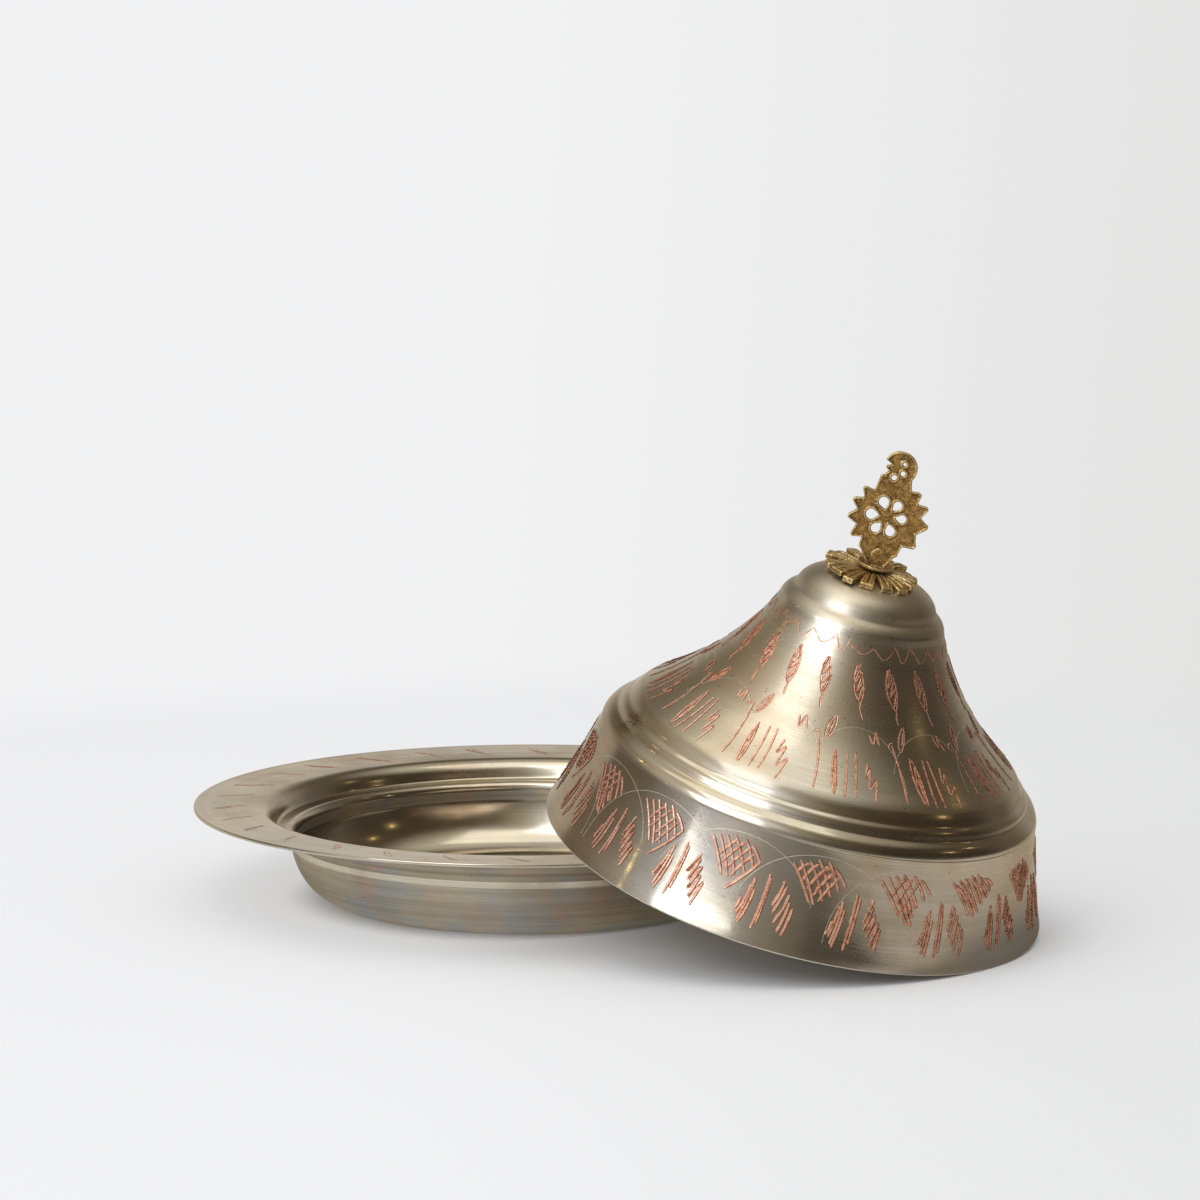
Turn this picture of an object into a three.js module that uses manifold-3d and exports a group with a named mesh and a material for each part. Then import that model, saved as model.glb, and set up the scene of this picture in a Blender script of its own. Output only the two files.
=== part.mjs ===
// Lidded serving dish in tinned sheet copper, its lid lifted off and leant on the dish's flange.
// Millimetres, +Z up. The origin is the centre of the dish's flat base.

import * as THREE from 'three';
import { mergeVertices } from 'three/addons/utils/BufferGeometryUtils.js';
import Module from 'manifold-3d';

const wasm = await Module();
wasm.setup();

// Facets of a revolved form, of each bend in a profile and of each arc in the cast plate
const turnedFacets = 64;
const smallFacets = 24;
const bendSteps = 3;
const plateSteps = 5;
const fullTurn = 2 * Math.PI;

// Clearances
const restGap = 0.3;
const boreClearance = 0.3;
const seatClearance = 4.1;

// Dish, spun from one sheet
const dishSheet = 1.2;
const dishHeight = 34.1;
const flangeWidth = 22.2;
const flangeFall = 1.3;
const lipRun = 6.8;
const ledgeOuterRadius = 91;
const ledgeWidth = 5.4;
const ledgeHeight = 25.6;
const beadDepth = 3.2;
const beadBulge = 2.2;
const creaseRise = 3;
const creaseSet = 1.2;
const baseRadius = 69.8;

// Lid, spun from one sheet: skirt, two shoulder rings, shoulder, bell, neck ring and crown
const lidSheet = 1.1;
const skirtHeight = 35.5;
const skirtTaper = 11.3;
const ringLip = 0.4;
const lowerRingRise = 4.8;
const lowerRingRun = 4.7;
const upperRingRise = 3.9;
const upperRingRun = 2.9;
const shoulderRise = 7;
const shoulderRun = 6.9;
const bellRise = 40.3;
const bellRun = 32.9;
const neckRingRise = 5.1;
const neckRingRun = 4.1;
const crownRise = 8.9;
const crownFlatRadius = 8;

// Corners of the curved stretches, as shares of each one's run and rise
const skirtCorner = { run: 0.56, rise: 0.45 };
const lipCorner = { run: 0.85, rise: 0.08 };
const beadCorner = { run: 0.85, rise: 0.1 };
const creaseCorner = { run: 0.1, rise: 0.6 };
const wallCorner = { run: 0.21, rise: 0.86 };
const ringCorner = { run: 0.18, rise: 0.78 };
const shoulderCorner = { run: 0.2, rise: 0.5 };
const bellCorner = { run: 0.72, rise: 0.45 };
const crownCorner = { run: 0.1, rise: 0.95 };

// Lid leaning on the flange
const tableReach = 78.2;
const leanBearing = THREE.MathUtils.degToRad(-37.4);
const leanHalvings = 50;

// Rosette: cast sunburst of ridged bars
const petalCount = 15;
const rosetteRadius = 17.6;
const rosetteRootRadius = 11.5;
const rosetteHubRadius = 6.5;
const rosetteThickness = 1.6;
const petalHalfAngle = THREE.MathUtils.degToRad(8);
const petalRidge = 0.7;
const petalRidgeShare = 0.5;
const petalEdge = 0.8;
const petalDroop = 1.2;

// Finial foot: dished disc, upright tab and a shank riveted over inside the crown
const shankRadius = 2.2;
const footRadius = 6.3;
const footFlatRadius = 4.4;
const footThickness = 1;
const footDish = 1.2;
const tabHalfWidth = 2.3;
const tabThickness = 1.6;
const tabTop = 2.6;
const rivetedEndRadius = 3.6;
const rivetedEndHeight = 1.2;

// Washer under the crown
const washerRadius = 6;
const washerThickness = 1;

// Finial plate: pierced sun wheel, neck and crescent, measured from the wheel's centre
const plateThickness = 2;
const wheelTipRadius = 13.4;
const wheelRootRadius = 10.6;
const leftTeeth = [141, 164, 190, 218, 240].map(THREE.MathUtils.degToRad);
const rightTeeth = [-66, -35, 0, 28, 52].map(THREE.MathUtils.degToRad);
const stemLength = 17.3;
const stemHalfWidth = 2.5;
const piercingCount = 6;
const piercingRing = 5;
const piercingRadius = 1.8;
const piercingPoint = 1.1;
const piercingPhase = THREE.MathUtils.degToRad(5);
const piercingHalfArc = THREE.MathUtils.degToRad(126);
const neckHalfWidth = 4.9;
const neckCornerHeight = 13.6;
const neckCornerReach = 6;
const crescentRadius = 5.4;
const crescentRise = 17.7;
const crescentOffset = -0.6;
const crescentStart = THREE.MathUtils.degToRad(-34);
const crescentEnd = THREE.MathUtils.degToRad(158);
const starTip = 4.7;
const starNotch = 2.4;
const starHalfRise = 1.3;
const starHoleRadius = 0.85;
const starHoleRing = 2.3;
const starHoles = [20, -43, -112].map(THREE.MathUtils.degToRad);

// Rivet through the plate and the tab
const rivetRadius = 1.1;
const rivetHeadRadius = 2.1;
const rivetHeadTop = 1.5;
const rivetHeadHeight = 0.8;
const rivetTailRadius = 1.6;
const rivetHeight = 4;
const finialBearing = THREE.MathUtils.degToRad(-92);

// Sizes that follow from those above
const lidRimRadius = ledgeOuterRadius - seatClearance;
const lidInnerRimRadius = lidRimRadius - lidSheet;
const flangeInnerRadius = ledgeOuterRadius + lipRun;
const flangeRadius = flangeInnerRadius + flangeWidth;
const ledgeInnerRadius = ledgeOuterRadius - ledgeWidth;
const beadRadius = ledgeInnerRadius - beadBulge;
const beadHeight = ledgeHeight - beadDepth;
const ringsTop = skirtHeight + lowerRingRise + upperRingRise;
const bellTop = ringsTop + shoulderRise + bellRise;
const crownTop = bellTop + neckRingRise + crownRise;
const rosetteBottom = crownTop + restGap;
const footBottom = rosetteBottom + rosetteThickness + restGap;
const footTop = footBottom + footThickness;
const wheelHeight = footTop + restGap + stemLength;
const rivetLevel = footTop + restGap + rivetHeight;
const washerTop = crownTop - lidSheet - restGap;
const washerBottom = washerTop - washerThickness;
const shankEnd = washerBottom - restGap;
const shankBoreRadius = shankRadius + boreClearance;
const rivetBoreRadius = rivetRadius + boreClearance;
const plateBack = -restGap / 2;
const plateFront = plateBack + plateThickness;
const tabFront = plateBack - restGap;
const tabBack = tabFront - tabThickness;

const tin = new THREE.MeshStandardMaterial({ color: 0x9d9688, roughness: 0.32, metalness: 1 });
const tinInside = new THREE.MeshStandardMaterial({ color: 0x938c7e, roughness: 0.3, metalness: 1 });
const castBrass = new THREE.MeshStandardMaterial({ color: 0xa07a3a, roughness: 0.42, metalness: 1 });

// Adds a curve from the path's end to (radius, height), its corner at shares of the run and the rise.
function bendTo(path, radius, height, corner) {
  const start = path.currentPoint;
  const cornerRadius = THREE.MathUtils.lerp(start.x, radius, corner.run);
  const cornerHeight = THREE.MathUtils.lerp(start.y, height, corner.rise);
  path.quadraticCurveTo(cornerRadius, cornerHeight, radius, height);
}

// Points of a profile moved sideways by the sheet's thickness, with mitred corners.
function offsetProfile(points, thickness) {
  const stretches = points.slice(1).map((point, index) => point.clone().sub(points[index]).normalize());
  return points.map((point, index) => {
    const arriving = stretches[Math.max(index - 1, 0)];
    const leaving = stretches[Math.min(index, stretches.length - 1)];
    const bisector = arriving.clone().add(leaving).normalize();
    const normal = new THREE.Vector2(-bisector.y, bisector.x);
    return point.clone().addScaledVector(normal, thickness / bisector.dot(leaving));
  });
}

// Keeps positions only, merges shared corners and drops the flat facets at the axis.
function cleanGeometry(geometry) {
  const bare = geometry.clone();
  for (const name of Object.keys(bare.attributes)) {
    if (name !== 'position') bare.deleteAttribute(name);
  }
  const merged = mergeVertices(bare, 1e-5);
  const corners = merged.index.array;
  const kept = [];
  for (let i = 0; i < corners.length; i += 3) {
    const [a, b, c] = corners.slice(i, i + 3);
    if (a !== b && b !== c && c !== a) kept.push(a, b, c);
  }
  merged.setIndex(kept);
  merged.computeVertexNormals();
  return merged;
}

// Revolves a profile of (radius, height) points about Z. The profile runs anticlockwise, so that
// the faces point out, and it closes on itself or starts and ends on the axis.
function turned(points, facets) {
  return cleanGeometry(new THREE.LatheGeometry(points, facets).rotateX(Math.PI / 2));
}

// Revolves a rectangle or ring section from one height to another.
function turnedRing(innerRadius, outerRadius, bottom, top, facets) {
  const section = [
    new THREE.Vector2(innerRadius, bottom),
    new THREE.Vector2(outerRadius, bottom),
    new THREE.Vector2(outerRadius, top),
    new THREE.Vector2(innerRadius, top),
  ];
  if (innerRadius > 0) section.push(section[0].clone());
  return turned(section, facets);
}

function toManifold(geometry) {
  const bare = cleanGeometry(geometry);
  const mesh = new wasm.Mesh({
    numProp: 3,
    vertProperties: new Float32Array(bare.attributes.position.array),
    triVerts: new Uint32Array(bare.index.array),
  });
  return new wasm.Manifold(mesh);
}

function fromManifold(solid) {
  const mesh = solid.getMesh();
  const geometry = new THREE.BufferGeometry();
  geometry.setAttribute('position', new THREE.BufferAttribute(mesh.vertProperties, 3));
  geometry.setIndex(new THREE.BufferAttribute(mesh.triVerts, 1));
  geometry.computeVertexNormals();
  return geometry;
}

function dishGeometry() {
  const top = new THREE.Path();
  top.moveTo(flangeRadius, dishHeight);
  top.lineTo(flangeInnerRadius, dishHeight - flangeFall);
  bendTo(top, ledgeOuterRadius, ledgeHeight, lipCorner);
  top.lineTo(ledgeInnerRadius, ledgeHeight);
  bendTo(top, beadRadius, beadHeight, beadCorner);
  bendTo(top, beadRadius + creaseSet, beadHeight - creaseRise, creaseCorner);
  bendTo(top, baseRadius, dishSheet, wallCorner);
  top.lineTo(0, dishSheet);
  const inside = top.getPoints(bendSteps);
  const outside = offsetProfile(inside, dishSheet);
  return turned([...outside.reverse(), ...inside], turnedFacets);
}

function lidGeometry() {
  const outer = new THREE.Path();
  let radius = lidRimRadius;
  let height = 0;
  const bendBy = (run, rise, corner) => {
    radius -= run;
    height += rise;
    bendTo(outer, radius, height, corner);
  };
  outer.moveTo(radius, height);
  bendBy(skirtTaper, skirtHeight, skirtCorner);
  radius += ringLip;
  outer.lineTo(radius, height);
  bendBy(lowerRingRun, lowerRingRise, ringCorner);
  bendBy(upperRingRun, upperRingRise, ringCorner);
  bendBy(shoulderRun, shoulderRise, shoulderCorner);
  bendBy(bellRun, bellRise, bellCorner);
  bendBy(neckRingRun, neckRingRise, ringCorner);
  bendBy(radius - crownFlatRadius, crownRise, crownCorner);
  outer.lineTo(shankBoreRadius, height);
  const outside = outer.getPoints(bendSteps);
  const inside = offsetProfile(outside, lidSheet);
  return turned([...outside, ...inside.reverse(), outside[0].clone()], turnedFacets);
}

// Height of a bar's top over its underside, at a share of the way from the hub to the tip.
function petalThickness(share, lift) {
  const plain = THREE.MathUtils.lerp(rosetteThickness, petalEdge, share);
  return plain + lift * Math.min(1, share / petalRidgeShare);
}

// Sunburst whose bars have a raised ridge; front bars droop and rear bars rise a little.
function rosetteGeometry() {
  const bar = fullTurn / petalCount;
  const acrossBar = [
    { turn: -bar / 2, reach: rosetteRootRadius, lift: 0 },
    { turn: -petalHalfAngle, reach: rosetteRadius, lift: 0 },
    { turn: 0, reach: rosetteRadius, lift: petalRidge },
    { turn: petalHalfAngle, reach: rosetteRadius, lift: 0 },
  ];
  const section = [
    { share: 0, top: false },
    { share: 1, top: false },
    { share: 1, top: true },
    { share: petalRidgeShare, top: true },
    { share: 0, top: true },
  ];
  const positions = [];
  for (let petal = 0; petal < petalCount; petal += 1) {
    for (const { turn, reach, lift } of acrossBar) {
      const angle = petal * bar + turn;
      const bore = onCircle(shankBoreRadius, angle);
      positions.push(bore.x, bore.y, 0);
      for (const { share, top } of section) {
        const radius = THREE.MathUtils.lerp(rosetteHubRadius, reach, share);
        const corner = onCircle(radius, angle);
        const bend = (petalDroop * (radius - rosetteHubRadius) * Math.sin(angle)) / rosetteRadius;
        positions.push(corner.x, corner.y, bend + (top ? petalThickness(share, lift) : 0));
      }
      positions.push(bore.x, bore.y, rosetteThickness);
    }
  }
  const perLoop = section.length + 2;
  const loops = petalCount * acrossBar.length;
  return closedGrid(positions, perLoop, loops).translate(0, 0, rosetteBottom);
}

// Closed ring of facets from loops of corners, each loop going round the section.
function closedGrid(positions, perLoop, loops) {
  const corners = [];
  for (let loop = 0; loop < loops; loop += 1) {
    for (let step = 0; step < perLoop; step += 1) {
      const nextStep = (step + 1) % perLoop;
      const nextLoop = (loop + 1) % loops;
      const here = loop * perLoop + step;
      const along = loop * perLoop + nextStep;
      const across = nextLoop * perLoop + step;
      const beyond = nextLoop * perLoop + nextStep;
      corners.push(here, across, along, along, across, beyond);
    }
  }
  const geometry = new THREE.BufferGeometry();
  geometry.setAttribute('position', new THREE.Float32BufferAttribute(positions, 3));
  geometry.setIndex(corners);
  return cleanGeometry(geometry);
}

// Flat shape in the finial's plane, standing up from the wheel's centre, from back to front.
function standingPlate(shape, back, thickness) {
  const options = { depth: thickness, bevelEnabled: false, curveSegments: plateSteps };
  const geometry = new THREE.ExtrudeGeometry(shape, options);
  return geometry.rotateX(Math.PI / 2).translate(0, -back, 0);
}

function roundHole(centre, radius) {
  const hole = new THREE.Path();
  hole.absarc(centre.x, centre.y, radius, 0, fullTurn, true);
  return hole;
}

function footGeometry() {
  const disc = turned([
    new THREE.Vector2(0, footBottom),
    new THREE.Vector2(footFlatRadius, footBottom),
    new THREE.Vector2(footRadius, footBottom + footDish),
    new THREE.Vector2(footRadius, footTop + footDish),
    new THREE.Vector2(footFlatRadius, footTop),
    new THREE.Vector2(0, footTop),
  ], smallFacets);
  const discMiddle = footBottom + footThickness / 2;
  const endMiddle = shankEnd - rivetedEndHeight / 2;
  const shank = turnedRing(0, shankRadius, endMiddle, discMiddle, smallFacets);
  const rivetedEnd = turnedRing(0, rivetedEndRadius, shankEnd - rivetedEndHeight, shankEnd, smallFacets);
  const tab = new THREE.Shape();
  tab.moveTo(-tabHalfWidth, discMiddle);
  tab.lineTo(tabHalfWidth, discMiddle);
  tab.absarc(0, rivetLevel + tabTop - tabHalfWidth, tabHalfWidth, 0, Math.PI, false);
  tab.closePath();
  tab.holes.push(roundHole(new THREE.Vector2(0, rivetLevel), rivetBoreRadius));
  const upright = standingPlate(tab, tabBack, tabThickness);
  const pieces = [disc, shank, rivetedEnd, upright].map(toManifold);
  return fromManifold(pieces.reduce((joined, piece) => joined.add(piece)));
}

function onCircle(radius, angle) {
  return new THREE.Vector2(radius * Math.cos(angle), radius * Math.sin(angle));
}

// Tooth tips with a valley between each two.
function toothedRun(angles) {
  const run = [];
  angles.forEach((angle, index) => {
    if (index > 0) run.push(onCircle(wheelRootRadius, (angle + angles[index - 1]) / 2));
    run.push(onCircle(wheelTipRadius, angle));
  });
  return run;
}

// Wheel piercing: a round hole drawn out to a point towards the wheel's centre.
function piercing(angle) {
  const centre = onCircle(piercingRing, angle);
  const point = onCircle(piercingRing - piercingRadius - piercingPoint, angle);
  const arcStart = angle - piercingHalfArc;
  const arcEnd = angle + piercingHalfArc;
  const hole = new THREE.Path();
  hole.moveTo(point.x, point.y);
  hole.absarc(centre.x, centre.y, piercingRadius, arcStart, arcEnd, false);
  hole.closePath();
  return hole;
}

// Outline of wheel, neck and crescent, anticlockwise from the stem's right foot.
function plateOutline(middle) {
  const outline = new THREE.Shape();
  outline.moveTo(stemHalfWidth, -stemLength);
  for (const corner of toothedRun(rightTeeth)) outline.lineTo(corner.x, corner.y);
  outline.lineTo(neckHalfWidth, wheelRootRadius);
  outline.absarc(middle.x, middle.y, crescentRadius, crescentStart, crescentEnd, false);
  outline.lineTo(middle.x - starNotch, middle.y + starHalfRise / 2);
  outline.lineTo(middle.x - starTip, middle.y - starHalfRise / 2);
  outline.lineTo(middle.x - starNotch, middle.y - starHalfRise);
  outline.lineTo(middle.x - starNotch, neckCornerHeight);
  outline.lineTo(-neckCornerReach, neckCornerHeight);
  const shoulder = onCircle(wheelRootRadius, (3 * leftTeeth[0] - leftTeeth[1]) / 2);
  outline.lineTo(shoulder.x, shoulder.y);
  for (const corner of toothedRun(leftTeeth)) outline.lineTo(corner.x, corner.y);
  outline.lineTo(-stemHalfWidth, -stemLength);
  outline.closePath();
  return outline;
}

function plateGeometry() {
  const middle = new THREE.Vector2(crescentOffset, crescentRise);
  const outline = plateOutline(middle);
  for (let hole = 0; hole < piercingCount; hole += 1) {
    outline.holes.push(piercing(piercingPhase + (hole * fullTurn) / piercingCount));
  }
  for (const angle of starHoles) {
    outline.holes.push(roundHole(onCircle(starHoleRing, angle).add(middle), starHoleRadius));
  }
  outline.holes.push(roundHole(new THREE.Vector2(0, rivetLevel - wheelHeight), rivetBoreRadius));
  return standingPlate(outline, plateBack, plateThickness).translate(0, 0, wheelHeight);
}

// Rivet along the plate's thickness, with a head at the front and a smaller one behind the tab.
function rivetGeometry() {
  const front = plateFront + restGap;
  const back = tabBack - restGap;
  const section = [
    new THREE.Vector2(0, back - rivetHeadHeight),
    new THREE.Vector2(rivetTailRadius, back - rivetHeadHeight),
    new THREE.Vector2(rivetTailRadius, back),
    new THREE.Vector2(rivetRadius, back),
    new THREE.Vector2(rivetRadius, front),
    new THREE.Vector2(rivetHeadRadius, front),
    new THREE.Vector2(rivetHeadTop, front + rivetHeadHeight),
    new THREE.Vector2(0, front + rivetHeadHeight),
  ];
  return turned(section, smallFacets).rotateX(Math.PI / 2).translate(0, 0, rivetLevel);
}

function named(name, geometry, material) {
  const mesh = new THREE.Mesh(geometry, material);
  mesh.name = name;
  return mesh;
}

// How far from the dish's axis the lid's outer edge stands on the table, for a lean that
// rests its inner edge on the flange's corner.
function reachAtLean(lean) {
  const centreHeight = restGap + lidRimRadius * Math.sin(lean);
  const cosine = (centreHeight - dishHeight - restGap) / (lidInnerRimRadius * Math.sin(lean));
  const aside = lidInnerRimRadius * Math.sqrt(1 - cosine * cosine);
  const along = Math.sqrt(flangeRadius * flangeRadius - aside * aside);
  const distance = along - lidInnerRimRadius * Math.cos(lean) * cosine;
  return { distance, centreHeight, reach: distance + lidRimRadius * Math.cos(lean) };
}

// A steeper lid stands nearer, so the lean for the wanted reach is found by halving the range.
function leanForReach(reach) {
  let flat = Math.asin(dishHeight / (lidRimRadius + lidInnerRimRadius));
  let steep = Math.PI / 2;
  for (let halving = 0; halving < leanHalvings; halving += 1) {
    const lean = (flat + steep) / 2;
    if (reachAtLean(lean).reach > reach) flat = lean;
    else steep = lean;
  }
  return (flat + steep) / 2;
}

function washerGeometry() {
  return turnedRing(shankBoreRadius, washerRadius, washerBottom, washerTop, smallFacets);
}

function leaningLid() {
  const lean = leanForReach(flangeRadius + tableReach);
  const { distance, centreHeight } = reachAtLean(lean);
  const lid = new THREE.Group();
  lid.add(named('lid_shell', lidGeometry(), tin));
  lid.add(named('lid_washer', washerGeometry(), castBrass));
  const finial = new THREE.Group();
  finial.add(named('rosette', rosetteGeometry(), castBrass));
  finial.add(named('finial_foot', footGeometry(), castBrass));
  finial.add(named('finial_plate', plateGeometry(), castBrass));
  finial.add(named('finial_rivet', rivetGeometry(), castBrass));
  finial.rotation.z = finialBearing + Math.PI / 2 - leanBearing;
  lid.add(finial);
  lid.rotation.y = lean;
  const bearing = new THREE.Group();
  bearing.add(lid);
  lid.position.set(distance, 0, centreHeight);
  bearing.rotation.z = leanBearing;
  return bearing;
}

const servingDish = new THREE.Group();
servingDish.add(named('dish', dishGeometry(), tinInside));
servingDish.add(leaningLid());

export default servingDish;
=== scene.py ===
"""Looks of a lidded serving dish in tinned sheet copper with a cast brass finial.

Metres, +Z up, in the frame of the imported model. The lid leans on the dish's flange, so its pieces
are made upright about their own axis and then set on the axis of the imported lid.
"""
import sys
import bisect
import logging
import math
import random
from collections.abc import Iterable, Mapping, Sequence
from dataclasses import dataclass, field
from enum import Enum
from typing import Any

import bpy
import numpy as np
from mathutils import Matrix, Vector, noise


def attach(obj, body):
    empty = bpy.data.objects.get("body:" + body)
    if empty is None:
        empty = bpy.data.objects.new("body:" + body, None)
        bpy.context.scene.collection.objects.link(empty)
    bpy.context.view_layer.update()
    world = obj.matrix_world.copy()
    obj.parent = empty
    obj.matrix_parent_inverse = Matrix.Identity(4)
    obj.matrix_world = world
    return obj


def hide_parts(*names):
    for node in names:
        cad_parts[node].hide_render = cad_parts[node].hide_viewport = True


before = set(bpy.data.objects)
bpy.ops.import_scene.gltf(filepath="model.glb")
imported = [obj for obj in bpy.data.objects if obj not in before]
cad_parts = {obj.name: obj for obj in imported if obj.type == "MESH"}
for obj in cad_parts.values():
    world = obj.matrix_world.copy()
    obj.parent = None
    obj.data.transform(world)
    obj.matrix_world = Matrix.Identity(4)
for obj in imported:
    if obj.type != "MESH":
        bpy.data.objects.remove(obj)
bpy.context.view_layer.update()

MM = 0.001
NEGLIGIBLE = 0.0001 * MM
FULL_TURN = 2 * math.pi
UPRIGHT = Matrix.Rotation(math.pi / 2, 4, "X")
log = logging.getLogger("serving_dish")

Colour = tuple[float, float, float, float]
Tones = tuple[tuple[float, tuple[float, float, float]], ...]
Cut = list[tuple[float, float]]


class Slot(Enum):
    """Material slots of the record."""

    DISH = "tinned_dish"
    LID = "tinned_lid"
    BRASS = "cast_brass"


class Body(Enum):
    """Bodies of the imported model."""

    DISH = "dish"
    LID = "lid"


# Turned sheet


def curve_point(start: Vector, via: Vector, end: Vector, share: float) -> Vector:
    """Point on the curve that leaves start and reaches end along their lines to via."""
    rest = 1 - share
    return rest * rest * start + 2 * rest * share * via + share * share * end


@dataclass(frozen=True)
class Corner:
    """Corner of a curved stretch, as shares of its run and its rise."""

    run: float
    rise: float


class Profile:
    """Half-section of a turned sheet: radii and heights joined by lines and bends."""

    bend_steps = 24
    sample = 0.12 * MM
    fewest_samples = 8
    blur_reach = 3
    flatness = 0.004 * MM

    def __init__(self, radius: float, height: float) -> None:
        """Starts the section at one end.

        Args:
            radius: Distance from the axis.
            height: Height over the sheet's own origin.
        """
        self.points = [Vector((radius, height))]

    @property
    def end(self) -> Vector:
        """The section's last point."""
        return self.points[-1]

    def line_to(self, radius: float, height: float) -> None:
        """Adds a straight stretch."""
        self.points.append(Vector((radius, height)))

    def bend_to(self, radius: float, height: float, corner: Corner) -> None:
        """Adds a curved stretch.

        Args:
            radius: Radius at the end.
            height: Height at the end.
            corner: Where the stretch's two end directions meet.
        """
        start = self.end
        end = Vector((radius, height))
        via = Vector((start.x + corner.run * (end.x - start.x), start.y + corner.rise * (end.y - start.y)))
        shares = (step / self.bend_steps for step in range(1, self.bend_steps + 1))
        self.points += [curve_point(start, via, end, share) for share in shares]

    def offset(self, thickness: float) -> list[Vector]:
        """Points of the sheet's other face.

        Args:
            thickness: Distance to the left of the section's direction.

        Returns:
            One point for each point of the section.
        """
        runs = [(b - a).normalized() for a, b in zip(self.points, self.points[1:])]
        moved = []
        for index, point in enumerate(self.points):
            arriving = runs[max(index - 1, 0)]
            leaving = runs[min(index, len(runs) - 1)]
            middle = (arriving + leaving).normalized()
            moved.append(point + Vector((-middle.y, middle.x)) * (thickness / middle.dot(leaving)))
        return moved

    @classmethod
    def softened(cls, points: Sequence[Vector], radius: float, closed: bool) -> list[Vector]:
        """Rounds the corners of an outline and drops the points that a straight run doesn't need.

        Args:
            points: Outline of radii and heights.
            radius: About the radius that corners get.
            closed: True if the last point joins the first.

        Returns:
            The new outline.
        """
        path = np.array([tuple(p) for p in points] + ([tuple(points[0])] if closed else []))
        along = np.concatenate([[0], np.cumsum(np.hypot(*np.diff(path, axis=0).T))])
        count = max(cls.fewest_samples, int(along[-1] / cls.sample))
        places = np.linspace(0, along[-1], count + 1)
        dense = np.stack([np.interp(places, along, path[:, k]) for k in (0, 1)], axis=1)
        reach = max(1, int(cls.blur_reach * radius / cls.sample))
        kernel = np.exp(-0.5 * (np.arange(-reach, reach + 1) * cls.sample / radius) ** 2)
        kernel /= kernel.sum()
        if closed:
            dense = dense[:-1]
            padded = np.concatenate([dense[-reach:], dense, dense[:reach]])
        else:
            head = 2 * dense[0] - dense[reach:0:-1]
            tail = 2 * dense[-1] - dense[-2:-reach - 2:-1]
            padded = np.concatenate([head, dense, tail])
        smooth = np.stack([np.convolve(padded[:, k], kernel, "valid") for k in (0, 1)], axis=1)
        kept = cls.simplified(smooth, cls.flatness)
        return [Vector((max(x, 0.0), y)) for x, y in kept]

    @staticmethod
    def simplified(path: np.ndarray, flatness: float) -> np.ndarray:
        """Drops points that lie within flatness of the line between their kept neighbours."""
        keep = [0]
        spans = [(0, len(path) - 1)]
        while spans:
            first, last = spans.pop()
            if last - first < 2:
                continue
            line = path[last] - path[first]
            length = max(np.hypot(*line), NEGLIGIBLE)
            away = path[first + 1:last] - path[first]
            gaps = np.abs(away[:, 0] * line[1] - away[:, 1] * line[0]) / length
            worst = int(gaps.argmax())
            if gaps[worst] > flatness:
                middle = first + 1 + worst
                keep.append(middle)
                spans += [(first, middle), (middle, last)]
        return path[sorted(set(keep + [len(path) - 1]))]


@dataclass
class Form:
    """Corners and faces of a mesh in the making."""

    corners: list[Vector] = field(default_factory=list)
    faces: list[list[int]] = field(default_factory=list)

    def add(self, corners: Sequence[Vector], faces: Iterable[Iterable[int]]) -> None:
        """Adds corners, and faces that count from the first of them."""
        first = len(self.corners)
        self.corners += corners
        self.faces += [[first + corner for corner in face] for face in faces]

    def add_mesh(self, mesh: bpy.types.Mesh) -> None:
        """Adds a finished mesh."""
        self.add([vertex.co.copy() for vertex in mesh.vertices], [side.vertices for side in mesh.polygons])

    def add_bar(self, loops: Sequence[Sequence[Vector]]) -> None:
        """Adds a closed bar: loops of points in a row, with a face over each end."""
        wide = len(loops[0])
        corners = [corner for loop in loops for corner in loop]
        last = len(corners) - wide
        faces: list[Iterable[int]] = []
        for start in range(0, last, wide):
            for column in range(wide):
                here, after = start + column, start + (column + 1) % wide
                faces.append([here, here + wide, after + wide, after])
        self.add(corners, [*faces, range(wide), reversed(range(last, last + wide))])

    def add_turned(self, outline: Sequence[Vector], facets: int, closed: bool = False) -> None:
        """Adds an outline turned about the Z axis.

        Args:
            outline: Radii and heights, anticlockwise; an open outline starts and ends on the axis.
            facets: Facets of one turn.
            closed: True if the outline's last point joins its first.
        """
        corners: list[Vector] = []
        rings: list[list[int]] = []
        for point in outline:
            on_axis = point.x < NEGLIGIBLE
            rings.append([len(corners) + (0 if on_axis else k) for k in range(facets)])
            ring = ring_points(point.x, point.y, facets)
            corners += ring[:1] if on_axis else ring
        faces = []
        for low, high in zip(rings, rings[1:] + rings[:1] if closed else rings[1:]):
            for k in range(facets):
                after = (k + 1) % facets
                loop = list(dict.fromkeys([low[k], low[after], high[after], high[k]]))
                if len(loop) > 2:
                    faces.append(loop)
        self.add(corners, faces)

    def build(self, name: str) -> bpy.types.Object:
        """Makes a smooth-shaded object in the scene; its mesh gets the same name."""
        mesh = bpy.data.meshes.new(name)
        mesh.from_pydata([tuple(corner) for corner in self.corners], [], self.faces)
        mesh.validate()
        mesh.shade_smooth()
        return placed_object(name, mesh)


def placed_object(name: str, data: bpy.types.ID) -> bpy.types.Object:
    """Object of a mesh, curve, lamp or camera, in the scene."""
    made = bpy.data.objects.new(name, data)
    bpy.context.scene.collection.objects.link(made)
    return made


def ring_points(radius: float, height: float, facets: int) -> list[Vector]:
    """Points of a level ring about the Z axis, anticlockwise from +X."""
    angles = [FULL_TURN * k / facets for k in range(facets)]
    return [Vector((radius * math.cos(angle), radius * math.sin(angle), height)) for angle in angles]


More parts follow.
